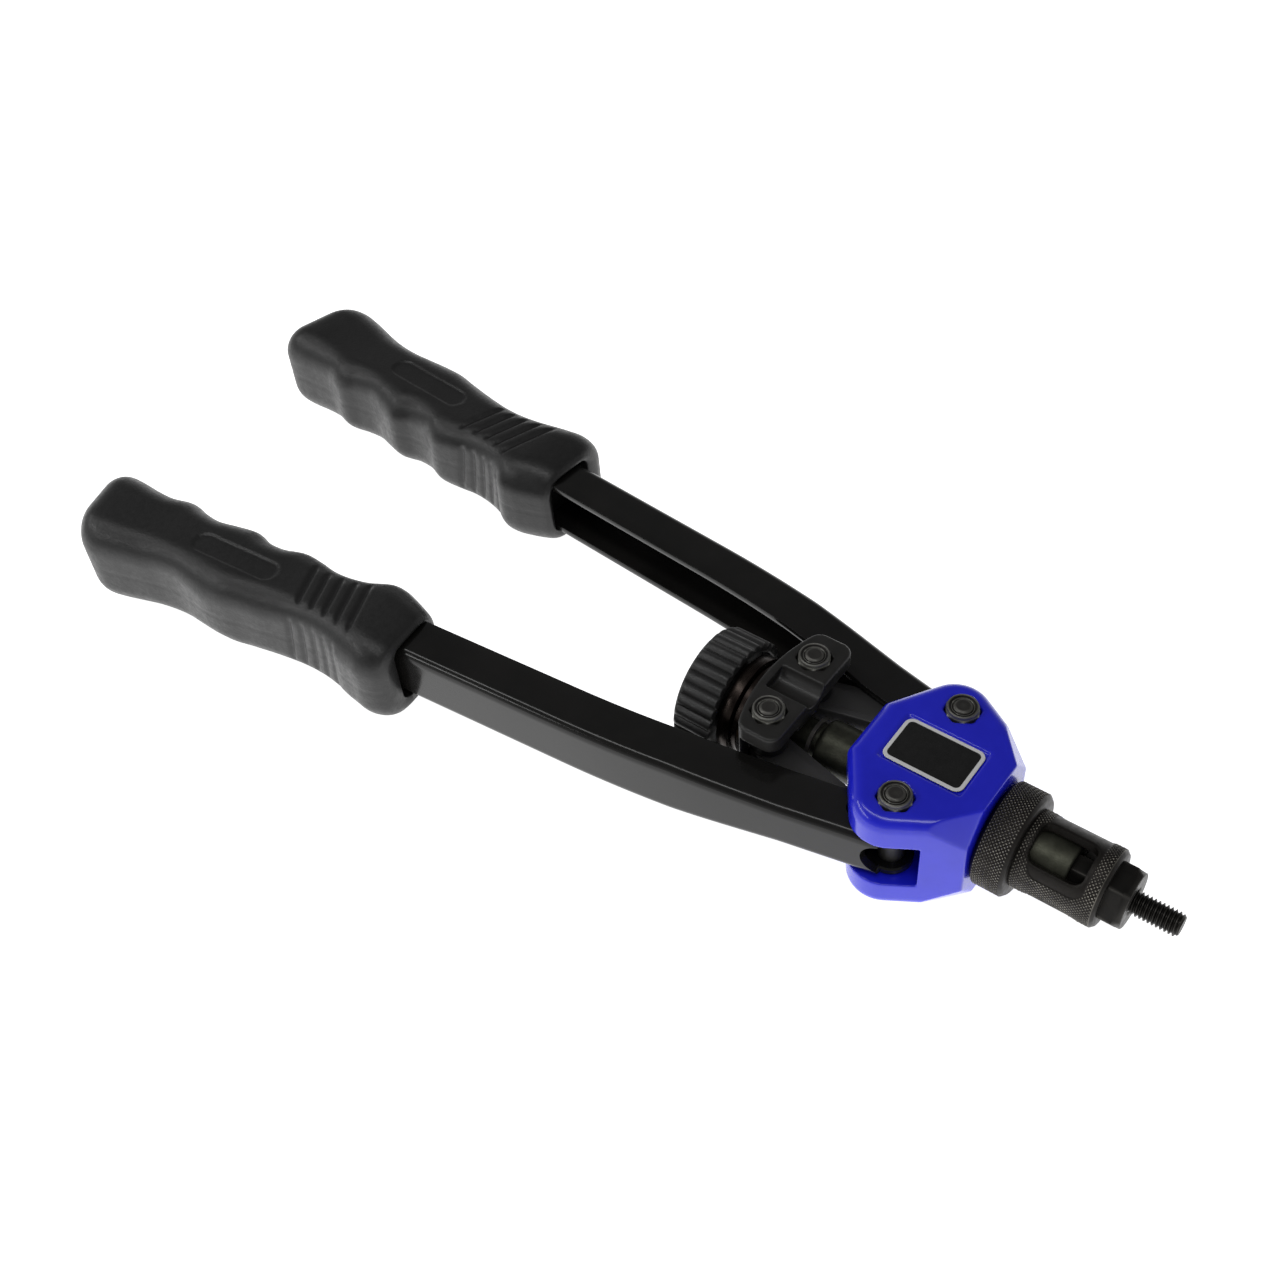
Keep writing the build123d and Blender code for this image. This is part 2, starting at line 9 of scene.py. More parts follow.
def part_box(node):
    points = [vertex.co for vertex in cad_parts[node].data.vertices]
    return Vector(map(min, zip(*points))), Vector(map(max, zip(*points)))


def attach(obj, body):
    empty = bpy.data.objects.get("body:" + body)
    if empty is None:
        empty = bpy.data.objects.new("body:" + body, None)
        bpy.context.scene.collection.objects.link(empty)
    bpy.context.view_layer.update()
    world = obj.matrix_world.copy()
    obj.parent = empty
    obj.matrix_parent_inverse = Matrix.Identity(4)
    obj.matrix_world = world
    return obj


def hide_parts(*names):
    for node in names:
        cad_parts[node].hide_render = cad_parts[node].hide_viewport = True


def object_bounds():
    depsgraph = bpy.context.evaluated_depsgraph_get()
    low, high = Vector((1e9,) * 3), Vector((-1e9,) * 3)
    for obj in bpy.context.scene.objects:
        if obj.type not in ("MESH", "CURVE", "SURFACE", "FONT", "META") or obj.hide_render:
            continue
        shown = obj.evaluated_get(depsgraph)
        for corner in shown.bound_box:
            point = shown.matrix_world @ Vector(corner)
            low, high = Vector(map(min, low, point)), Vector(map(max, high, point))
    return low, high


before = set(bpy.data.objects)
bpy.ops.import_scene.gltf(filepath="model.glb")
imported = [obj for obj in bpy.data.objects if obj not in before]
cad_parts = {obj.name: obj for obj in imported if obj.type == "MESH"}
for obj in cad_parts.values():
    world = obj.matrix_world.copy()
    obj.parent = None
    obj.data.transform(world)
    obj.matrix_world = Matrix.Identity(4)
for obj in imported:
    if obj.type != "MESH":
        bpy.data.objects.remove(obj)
cad_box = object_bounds()

# Two-handed setting tool for threaded rivets, arms closed. Lengths are millimetres in the CAD model's frame,
# until mesh() turns them into metres. X runs to the mandrel's tip, Y to the left arm and Z up, from the
# centre of the anvil's front face.
MM = 0.001
MM_PER_M = 1000

# ---- stations shared with the CAD model ----
PIVOT = (-54.0, 15.6)
YOKE_BOLT = (-92.4, 10.2)
HEAD_TOP = 16.6
YOKE_TOP = 16.3
RING_X = (-35.1, -26.5)
RING_R = 13.55
RING_BORE_R = 9.05
SLEEVE_X = (-26.5, -5.4)
SLEEVE_R = 10.15
SLEEVE_BORE_R = 7.6
SHANK_R = 8.98                  # threaded shank of the sleeve, inside the ring and the head
SHANK_REAR = -41.3
KNOB_X = (-118.1, -106.6)
KNOB_R = 16.55
ROD_R = 4.5
SHEET = 2.0                     # thickness of the arms' sheet
ARM_W = 12.6
ARM_HIGH = 8.7                  # half height behind the taper and ahead of it
ARM_LOW = 7.0
ARM_TAPER = (-106.0, -78.0)
ARM_KNEE = (-114.2, 35.8)
FRONT_ANGLE = radians(11.8)
REAR_ANGLE = radians(4.87)
KNEE_R = 400.0
ARM_FRONT = -53.6
ARM_END = -290.0
GRIP_ORIGIN = (-187.0, 35.8)


# ---- mesh helpers ----
def add(name, data):
    """A new object in the scene."""
    obj = bpy.data.objects.new(name, data)
    bpy.context.scene.collection.objects.link(obj)
    return obj


def mesh(name, verts, faces, body, nodes, material, slot, angle):
    """A piece from points in mm, riding on a body, standing for CAD nodes."""
    data = bpy.data.meshes.new(name)
    points = [tuple(float(c) * MM for c in v) for v in verts]
    data.from_pydata(points, [], [tuple(int(i) for i in f) for f in faces])
    data.validate()
    return dress(add(name, data), body, nodes, material, angle)


def dress(obj, body, nodes, material, angle):
    """Cleans and shades a piece, with edges sharper than the angle kept hard, and ties it to the frame."""
    clean(obj)
    obj.data.shade_smooth()
    if angle < 180:
        obj.data.set_sharp_from_angle(angle=radians(angle))
    if not obj.data.materials:
        obj.data.materials.append(material)
    for node in nodes:
        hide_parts(node)
    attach(obj, body)
    return obj


def clean(obj):
    """Merges doubled points, drops faces without area and loose points, and turns all faces outwards."""
    work = bmesh.new()
    work.from_mesh(obj.data)
    bmesh.ops.remove_doubles(work, verts=work.verts, dist=2e-6)
    bmesh.ops.dissolve_degenerate(work, edges=work.edges, dist=1e-7)
    loose = [v for v in work.verts if not v.link_faces]
    bmesh.ops.delete(work, geom=loose, context="VERTS")
    bmesh.ops.recalc_face_normals(work, faces=work.faces)
    work.to_mesh(obj.data)
    work.free()


def grid_faces(rows, cols, closed=False, offset=0):
    """Quads of a grid of points whose rows run round; closed also joins the last row to the first."""
    faces = []
    for i in range(rows if closed else rows - 1):
        here, there = offset + i * cols, offset + ((i + 1) % rows) * cols
        for j in range(cols):
            k = (j + 1) % cols
            faces.append((here + j, here + k, there + k, there + j))
    return faces


def capped_grid(rows, cols):
    """A grid's quads, with a flat face on its first row and its last."""
    caps = [tuple(reversed(range(cols))), tuple(range((rows - 1) * cols, rows * cols))]
    return grid_faces(rows, cols) + caps


def angles(turns):
    """Even angles round a circle."""
    return np.arange(turns) * 2 * pi / turns


def rings(stations, theta, centre=None):
    """Points round the tool's axis, or round a vertical axis through centre, for each (along, radii)."""
    points = []
    for along, radius in stations:
        radii = np.broadcast_to(radius, len(theta))
        if centre is None:
            points += [(along, r * cos(t), r * sin(t)) for r, t in zip(radii, theta)]
        else:
            points += [(centre[0] + r * cos(t), centre[1] + r * sin(t), along) for r, t in zip(radii, theta)]
    return points


def lathe(profile, turns=96, centre=None):
    """A turned solid. A profile with both ends on the axis closes there; any other wraps round, which
    leaves a cone inside the bolts and the knob's screw."""
    wraps = profile[0][1] > 1e-6 or profile[-1][1] > 1e-6
    return rings(profile, angles(turns), centre), grid_faces(len(profile), turns, wraps)


def rounded(points, radius, steps):
    """A closed polygon of (a, b) points with every corner rounded."""
    out = []
    count = len(points)
    for i in range(count):
        p = np.array(points[i], float)
        before = np.array(points[i - 1], float) - p
        after = np.array(points[(i + 1) % count], float) - p
        lb, la = np.linalg.norm(before), np.linalg.norm(after)
        if lb < 1e-9 or la < 1e-9:
            continue
        before /= lb
        after /= la
        half = acos(float(np.clip(before @ after, -1, 1))) / 2
        if abs(half - pi / 2) < 0.02 or radius <= 0:
            out.append(tuple(p))
            continue
        cut = min(radius / tan(half), 0.45 * lb, 0.45 * la)
        r = cut * tan(half)
        bisector = before + after
        bisector /= np.linalg.norm(bisector)
        centre = p + bisector * (r / sin(half))
        start = p + before * cut - centre
        end = p + after * cut - centre
        span = pi - 2 * half
        for k in range(steps + 1):
            t = k / steps
            vec = (start * sin((1 - t) * span) + end * sin(t * span)) / sin(span)
            out.append(tuple(centre + vec))
    return out


def join(parts):
    """One vertex and face list from several."""
    verts, faces = [], []
    for v, f in parts:
        base = len(verts)
        verts += list(v)
        faces += [tuple(i + base for i in face) for face in f]
    return verts, faces


def flip_y(verts, faces):
    """The mirror image across the tool's middle plane."""
    return [(x, -y, z) for x, y, z in verts], [tuple(reversed(f)) for f in faces]


def smoothstep(a, b, x):
    t = np.clip((x - a) / (b - a), 0.0, 1.0)
    return t * t * (3 - 2 * t)


def rounded_box_distance(u, v, half_u, half_v, r):
    """Signed distance to a rounded rectangle, negative inside."""
    qu = np.abs(u) - (half_u - r)
    qv = np.abs(v) - (half_v - r)
    outside = np.hypot(np.maximum(qu, 0), np.maximum(qv, 0))
    return outside + np.minimum(np.maximum(qu, qv), 0) - r


def hex_radius(theta, flats, turn=0.0):
    """Radius of a hexagon's outline at an angle; turn is the angle of one corner."""
    t = (theta - turn + pi / 6) % (pi / 3) - pi / 6
    return flats / 2 / np.cos(pi / 6 - np.abs(t))


def softened(node, name, body, material, voxel, rounds):
    """A copy of a CAD casting with its hard edges eased, as cast and painted metal has."""
    obj = add(name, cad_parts[node].data.copy())
    obj.data.materials.clear()
    remesh = obj.modifiers.new("voxels", "REMESH")
    remesh.mode = "VOXEL"
    remesh.voxel_size = voxel * MM
    ease = obj.modifiers.new("ease", "SMOOTH")
    ease.factor = 0.5
    ease.iterations = rounds
    apply_modifiers(obj)
    fit_inside(obj, node)
    return dress(obj, body, [node], material, angle=180)


def fit_inside(obj, node):
    """Keeps a remeshed copy inside its CAD node's box."""
    low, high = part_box(node)
    for v in obj.data.vertices:
        for k in range(3):
            v.co[k] = min(max(v.co[k], low[k]), high[k])


def apply_modifiers(obj):
    """Replaces a piece's mesh with the result of its modifiers."""
    depsgraph = bpy.context.evaluated_depsgraph_get()
    done = bpy.data.meshes.new_from_object(obj.evaluated_get(depsgraph))
    obj.modifiers.clear()
    obj.data = done


# ---- materials ----
def srgb(r, g, b):
    """A colour from 0 to 255 as linear RGBA."""
    def lin(c):
        c /= 255
        return c / 12.92 if c <= 0.04045 else ((c + 0.055) / 1.055) ** 2.4
    return (lin(r), lin(g), lin(b), 1.0)


def map_range(tree, value, low, high, a, b):
    """Maps low to high onto a to b."""
    node = tree.nodes.new("ShaderNodeMapRange")
    for key, number in (("From Min", low), ("From Max", high), ("To Min", a), ("To Max", b)):
        node.inputs[key].default_value = number
    tree.links.new(value, node.inputs["Value"])
    return node.outputs["Result"]


class Nodes:
    """Short way to build a material's node tree."""

    def __init__(self, name):
        self.m = bpy.data.materials.new(name)
        self.m.use_nodes = True
        self.t = self.m.node_tree
        self.bsdf = self.t.nodes["Principled BSDF"]
        self.coord = self.t.nodes.new("ShaderNodeTexCoord").outputs["Object"]

    def set(self, **values):
        for key, value in values.items():
            self.bsdf.inputs[key.replace("_", " ")].default_value = value
        return self

    def feed(self, socket, value):
        """Links an output to a socket, or sets the socket to a constant."""
        if isinstance(value, bpy.types.NodeSocket):
            self.t.links.new(value, socket)
        else:
            socket.default_value = value

    def noise(self, scale, detail, rough=0.55, stretch=None):
        """Noise in the object's own space, drawn out by stretch."""
        node = self.t.nodes.new("ShaderNodeTexNoise")
        for key, value in (("Scale", scale), ("Detail", detail), ("Roughness", rough)):
            node.inputs[key].default_value = value
        source = self.coord
        if stretch:
            place = self.t.nodes.new("ShaderNodeMapping")
            place.inputs["Scale"].default_value = stretch
            self.t.links.new(source, place.inputs["Vector"])
            source = place.outputs["Vector"]
        self.t.links.new(source, node.inputs["Vector"])
        return node.outputs["Fac"]

    def ramp(self, value, low, high, a, b):
        return map_range(self.t, value, low, high, a, b)

    def mix(self, factor, a, b):
        node = self.t.nodes.new("ShaderNodeMix")
        node.data_type = "RGBA"
        self.t.links.new(factor, node.inputs["Factor"])
        self.feed(node.inputs[6], a)
        self.feed(node.inputs[7], b)
        return node.outputs[2]

    def math(self, kind, a, b):
        node = self.t.nodes.new("ShaderNodeMath")
        node.operation = kind
        self.feed(node.inputs[0], a)
        self.feed(node.inputs[1], b)
        return node.outputs[0]

    def attribute(self, name):
        node = self.t.nodes.new("ShaderNodeAttribute")
        node.attribute_name = name
        return node.outputs["Fac"]

    def edge_wear(self, low, high):
        """1 on outside edges, from the mesh's curvature."""
        node = self.t.nodes.new("ShaderNodeNewGeometry")
        return self.ramp(node.outputs["Pointiness"], low, high, 0.0, 1.0)

    def color(self, value):
        self.t.links.new(value, self.bsdf.inputs["Base Color"])
        return self

    def rough(self, value):
        self.t.links.new(value, self.bsdf.inputs["Roughness"])
        return self

    def bump(self, *layers):
        """Each layer is (height, strength, distance in metres)."""
        normal = None
        for height, strength, distance in layers:
            node = self.t.nodes.new("ShaderNodeBump")
            node.inputs["Strength"].default_value = strength
            node.inputs["Distance"].default_value = distance
            self.t.links.new(height, node.inputs["Height"])
            if normal:
                self.t.links.new(normal, node.inputs["Normal"])
            normal = node.outputs["Normal"]
        self.t.links.new(normal, self.bsdf.inputs["Normal"])
        return self


def blue_paint():
    """Smooth blue gloss paint under a thin clear coat."""
    n = Nodes("blue_gloss_paint")
    n.set(Metallic=0.0, Coat_Weight=0.35, Coat_Roughness=0.06, Specular_IOR_Level=0.4)
    cloud = n.noise(90, 3)
    fine = n.noise(900, 2)
    n.color(n.mix(n.ramp(cloud, 0.35, 0.65, 0, 1), srgb(26, 32, 208), srgb(32, 38, 218)))
    n.rough(n.ramp(fine, 0.3, 0.7, 0.20, 0.26))
    return n.bump((n.noise(420, 2), 0.025, 0.0002), (fine, 0.015, 0.0001)).m


def black_paint(name, tone, rough_low, rough_high, coat=0.1):
    """Black paint with a slight orange peel; tone is its grey from 0 to 255."""
    n = Nodes(name).set(Metallic=0.0, Specular_IOR_Level=0.38, Coat_Weight=coat, Coat_Roughness=0.14)
    cloud = n.noise(60, 4)
    fine = n.noise(1400, 3)
    dark = srgb(tone - 4, tone - 4, tone - 5)
    light = srgb(tone + 4, tone + 3, tone + 2)
    n.color(n.mix(n.ramp(cloud, 0.3, 0.7, 0, 1), dark, light))
    n.rough(n.ramp(n.noise(240, 4), 0.3, 0.7, rough_low, rough_high))
    return n.bump((n.noise(500, 3), 0.04, 0.0002), (fine, 0.05, 0.0001)).m


def oxide_steel(name, tone, worn, metallic):
    """Blackened steel, lighter where edges are rubbed."""
    n = Nodes(name).set(Metallic=metallic)
    cloud = n.noise(140, 5)
    dark = srgb(tone - 5, tone - 6, tone - 7)
    light = srgb(tone + 6, tone + 4, tone + 1)
    base = n.mix(n.ramp(cloud, 0.3, 0.7, 0, 1), dark, light)
    n.color(n.mix(n.edge_wear(0.53, 0.62), base, worn))
    n.rough(n.ramp(n.noise(500, 4), 0.3, 0.7, 0.36, 0.52))
    return n.bump((n.noise(1800, 3), 0.12, 0.0001)).m


def knurled_steel():
    """Blackened steel with a cut diamond pattern: the crests carry a painted highlight, lighter than the dark
    valleys.
    """
    n = Nodes("knurled_black_steel").set(Metallic=0.7)
    crest = n.ramp(n.attribute("crest"), 0.40, 0.90, 0, 1)
    # Painted highlight: the crests are mixed towards a light grey, broken up by noise.
    crest_highlight = n.math("MULTIPLY", crest, n.ramp(n.noise(220, 4), 0.35, 0.75, 0.25, 1.0))
    base = n.mix(n.ramp(n.noise(120, 4), 0.3, 0.7, 0, 1), srgb(26, 24, 22), srgb(40, 37, 34))
    n.color(n.mix(crest_highlight, base, srgb(205, 200, 188)))
    n.rough(n.ramp(n.noise(600, 4), 0.3, 0.7, 0.38, 0.55))
    return n.bump((n.noise(2200, 2), 0.10, 0.0001)).m


def turned_steel(name, tone, rough, tint=(0, 0, 0)):
    """Bare turned steel with fine marks round the axis."""
    n = Nodes(name).set(Metallic=0.9)
    marks = n.noise(1200, 3, stretch=(6, 0.4, 0.4))
    mottle = n.noise(260, 5)
    low = srgb(tone - 12 + tint[0], tone - 12 + tint[1], tone - 14 + tint[2])
    high = srgb(tone + 12 + tint[0], tone + 12 + tint[1], tone + 8 + tint[2])
    n.color(n.mix(n.ramp(mottle, 0.3, 0.7, 0, 1), low, high))
    n.rough(n.ramp(marks, 0.3, 0.7, rough - 0.06, rough + 0.08))
    return n.bump((marks, 0.10, 0.0001), (mottle, 0.08, 0.0001)).m


def moulded(name, tone, rough, grain):
    """Moulded plastic with a fine spark-eroded grain."""
    n = Nodes(name).set(Metallic=0.0, Specular_IOR_Level=0.5)
    cloud = n.noise(45, 3)
    dark, light = srgb(tone - 3, tone - 3, tone - 3), srgb(tone + 3, tone + 3, tone + 3)
    n.color(n.mix(n.ramp(cloud, 0.3, 0.7, 0, 1), dark, light))
    n.rough(n.ramp(n.noise(700, 4), 0.3, 0.7, rough - 0.06, rough + 0.08))
    coarse, fine = n.noise(grain, 3, 0.6), n.noise(grain * 2.6, 2)
    return n.bump((coarse, 0.35, 0.00018), (fine, 0.2, 0.0001)).m


BLUE = blue_paint()
ARM_PAINT = black_paint("arm_black_paint", 22, 0.13, 0.20, 0.0)
CAST_PAINT = black_paint("cast_black_paint", 32, 0.36, 0.50)
ZINC = oxide_steel("black_zinc", 70, srgb(165, 165, 158), 0.8)
DARK_STEEL = oxide_steel("black_oxide_steel", 30, srgb(96, 94, 90), 0.7)
KNURL = knurled_steel()
CHUCK_STEEL = turned_steel("chuck_grey_steel", 76, 0.46, (0, 1, -6))
ROD_STEEL = turned_steel("rod_grey_steel", 70, 0.44, (0, 1, -5))
POLISHED = turned_steel("polished_steel", 36, 0.28, (6, -1, -1))
LINK_STEEL = black_paint("link_black_steel", 62, 0.36, 0.5)
BRONZE = turned_steel("bronze", 90, 0.4, (20, 0, -30))
KNOB_PLASTIC = moulded("knob_black_plastic", 34, 0.42, 1500)
GRIP_PLASTIC = moulded("grip_black_plastic", 24, 0.40, 1300)
LABEL_BLACK = moulded("label_black", 14, 0.32, 2600)
LABEL_EDGE = moulded("label_cream", 222, 0.34, 2600)


# ---- head ----
softened("head_body", "head_casting", "head", BLUE, 0.34, 5)

LABEL_CENTRE = (-52.9, 0.0)
LABEL_HALF = (10.6, 6.9)
LABEL_Z = (16.0, 16.5)
LABEL_BORDER = 0.95
LABEL_CORNER = 2.2


def rounded_rectangle(half_x, half_y, r):
    """Outline round the label's centre."""
    corners = [(-half_x, -half_y), (half_x, -half_y), (half_x, half_y), (-half_x, half_y)]
    return [(LABEL_CENTRE[0] + a, LABEL_CENTRE[1] + b) for a, b in rounded(corners, r, 8)]


def label():
    """Blank plate with a light border that stands a little above its middle."""
    hx, hy = LABEL_HALF
    low, high = LABEL_Z
    # Inset, height and corner radius of each outline, from the underside up and over the border.
    outlines = [(0.12, low, 2.1), (0.0, low + 0.1, LABEL_CORNER), (0.0, high - 0.14, LABEL_CORNER),
                (0.12, high - 0.04, 2.1), (LABEL_BORDER, high - 0.04, 1.3),
                (LABEL_BORDER + 0.12, high - 0.12, 1.2)]
    verts = []
    for inset, z, r in outlines:
        verts += [(x, y, z) for x, y in rounded_rectangle(hx - inset, hy - inset, r)]
    faces = capped_grid(len(outlines), len(verts) // len(outlines))
    obj = mesh("label_plate", verts, faces, "head", ["head_label"], LABEL_BLACK, "label", angle=30)
    obj.data.materials.append(LABEL_EDGE)
    for poly in obj.data.polygons:
        c = poly.center / MM
        edge = rounded_box_distance(c.x - LABEL_CENTRE[0], c.y - LABEL_CENTRE[1], hx, hy, LABEL_CORNER)
        if c.z > high - 0.1 and -LABEL_BORDER - 0.02 < edge < -0.05 and len(poly.vertices) == 4:
            poly.material_index = 1


label()


# ---- fasteners ----
NUT_FLATS = 8.0
NUT_BORE_R = 2.3
NUT_HEX = 3.6                   # height of the hexagon
NUT_POCKET = 3.4                # how far the nut stands in its pocket
NUT_COLLAR = ((3.3, 2.3), (3.4, 3.93), (4.2, 3.93), (4.5, 3.82), (4.6, 3.55), (4.52, 3.32), (4.15, 3.18),
              (4.1, 2.98), (4.3, 2.86), (4.34, 2.7), (4.2, 2.56))
WASHER_T = 0.8
WASHER_R = (5.4, 2.55)
BOLT_RISE = 1.4                 # end of the bolt above the casting
BOLT_HEAD = 2.6
BOLT_R = 2.44
POCKET_BELOW = 1.2              # seat of the washers, up from the casting's lowest face
KEY_FLATS = 3.0                 # hexagonal key of the bolts and the knob's screw
ROUND = 72                      # points round a small fastener


def nut_hexagon(base, centre, turns=96):
    """Hexagonal ring along Z, its upper corners turned off."""
    theta = angles(turns)
    outline = hex_radius(theta, NUT_FLATS)
    turned = np.minimum(outline, NUT_FLATS / 2 + 0.1)
    top = base + NUT_HEX
    stations = [(base, outline), (top - 0.5, outline), (top, turned), (top, NUT_BORE_R), (base, NUT_BORE_R)]
    return rings(stations, theta, centre), grid_faces(len(stations), turns, True)


def nut(centre, top):
    """Self-locking nut in its pocket: hexagon below, rolled locking collar above."""
    base = top - NUT_POCKET
    collar = [(base + up, radius) for up, radius in NUT_COLLAR]
    return join([nut_hexagon(base, centre), lathe(collar, ROUND, centre)])


def key_socket(low, rim, depth, centre=None):
    """Hexagonal socket that opens at low: a round rim, flat walls and a closed floor."""
    theta = angles(ROUND)
    walls = hex_radius(theta, KEY_FLATS)
    stations = [(low, rim), (low + 0.1, walls), (low + depth, walls), (low + depth + 0.05, 0.0)]
    return rings(stations, theta, centre), grid_faces(len(stations), ROUND)


def bolt(centre, top, seat):
    """Shank with a chamfered end above the nut and a button head with a socket below."""
    end = top + BOLT_RISE
    low = seat - BOLT_HEAD
    profile = [(end - 0.02, 0.0), (end - 0.02, 1.2), (end, 1.35), (end, 1.75), (end - 0.35, 2.3),
               (end - 0.6, BOLT_R), (seat, BOLT_R), (seat, 4.5), (seat - 0.5, 4.6), (low + 1.3, 4.4),
               (low + 0.5, 3.8), (low + 0.1, 2.9), (low, 2.3), (low, 1.9)]
    return join([lathe(profile, ROUND, centre), key_socket(low, 1.9, 1.7, centre)])


def washer(centre, z0, z1):
    """Flat washer with eased outer edges."""
    outer, inner = WASHER_R
    profile = [(z0 + 0.1, outer), (z0, outer - 0.12), (z0, inner), (z1, inner), (z1, outer - 0.12),
               (z1 - 0.1, outer)]
    return lathe(profile, ROUND, centre)


for owner, place, top in (("head", PIVOT, HEAD_TOP), ("yoke", YOKE_BOLT, YOKE_TOP)):
    spots = [(place[0], side * place[1]) for side in (1, -1)]
    seat = POCKET_BELOW - top
    low = seat - WASHER_T
    for kind, shapes, node, angle in (
            ("locknuts", [nut(c, top) for c in spots], "nuts", 28),
            ("bolt_pair", [bolt(c, top, low) for c in spots], "bolts", 35),
            ("washer_pair", [washer(c, low, seat) for c in spots], "bolt_washers", 35)):
        mesh(f"{owner}_{kind}", *join(shapes), owner, [f"{owner}_{node}"], ZINC, "black_zinc", angle=angle)


# ---- nose ----
KNURL_PITCH = 1.0
KNURL_SAMPLES = 5               # points to a pitch
KNURL_STEP = KNURL_PITCH / KNURL_SAMPLES
RING_KNURL_DEPTH = 0.32
SLEEVE_KNURL_DEPTH = 0.30


def knurl(theta, x, radius, x0):
    """Height of a cut diamond knurl, 0 in the valleys and 1 on the points."""
    count = round(2 * pi * radius / KNURL_PITCH)
    u = theta / (2 * pi) * count
    v = (x - x0) / (2 * pi * radius / count)
    a = np.abs((u + v) % 1.0 - 0.5) * 2
    b = np.abs((u - v) % 1.0 - 0.5) * 2
    return 1 - np.maximum(a, b)


def crest_attribute(obj, radius_low, radius_high):
    """Stores how far out each point of a turned piece stands, for the painted highlight on the crests."""
    co = np.zeros(len(obj.data.vertices) * 3)
    obj.data.vertices.foreach_get("co", co)
    co = co.reshape(-1, 3) / MM
    r = np.hypot(co[:, 1], co[:, 2])
    value = np.clip((r - radius_low) / (radius_high - radius_low), 0, 1)
    layer = obj.data.attributes.new("crest", "FLOAT", "POINT")
    layer.data.foreach_set("value", value.astype(np.float32))


def lock_ring():
    """Knurled ring with chamfered ends."""
    x0, x1 = RING_X
    turns = round(2 * pi * RING_R / KNURL_PITCH) * KNURL_SAMPLES
    theta = angles(turns)
    stations = [(x0, RING_BORE_R), (x0, RING_R - 1.15), (x0 + 0.12, RING_R - 0.95),
                (x0 + 0.72, RING_R - 0.28), (x0 + 0.82, RING_R - 0.22)]
    stations += [(x, RING_R - RING_KNURL_DEPTH * (1 - knurl(theta, x, RING_R, x0)))
                 for x in np.arange(x0 + 1.0, x1 - 0.95, KNURL_STEP)]
    stations += [(x1 - 0.8, RING_R - 0.2), (x1 - 0.72, RING_R - 0.26), (x1 - 0.14, RING_R - 0.86),
                 (x1, RING_R - 1.05), (x1, RING_BORE_R)]
    faces = grid_faces(len(stations), turns, True)
    obj = mesh("knurled_lock_ring", rings(stations, theta), faces, "lock_ring", ["lock_ring"], KNURL,
               "black_oxide", angle=50)
    crest_attribute(obj, RING_R - RING_KNURL_DEPTH, RING_R)


lock_ring()

# Window and smooth relief, on both sides of the sleeve: X range, middle and half width as angles, corner.
WINDOW = ((-24.2, -10.4), radians(109.5), radians(34.0), 2.7)
RELIEF = ((-23.2, -9.2), radians(92.0), radians(70.0), 3.2)
RELIEF_DEPTH = 0.35
LIP_DEPTH = 0.18                # rounding along the window's edge
LIP_WIDTH = 0.35


def unrolled(x, angle, patch):
    """A patch's own coordinates of a place on the sleeve, and its half sizes and corner radius."""
    (x0, x1), middle, half, corner = patch
    return x - (x0 + x1) / 2, SLEEVE_R * (angle - middle), (x1 - x0) / 2, SLEEVE_R * half, corner


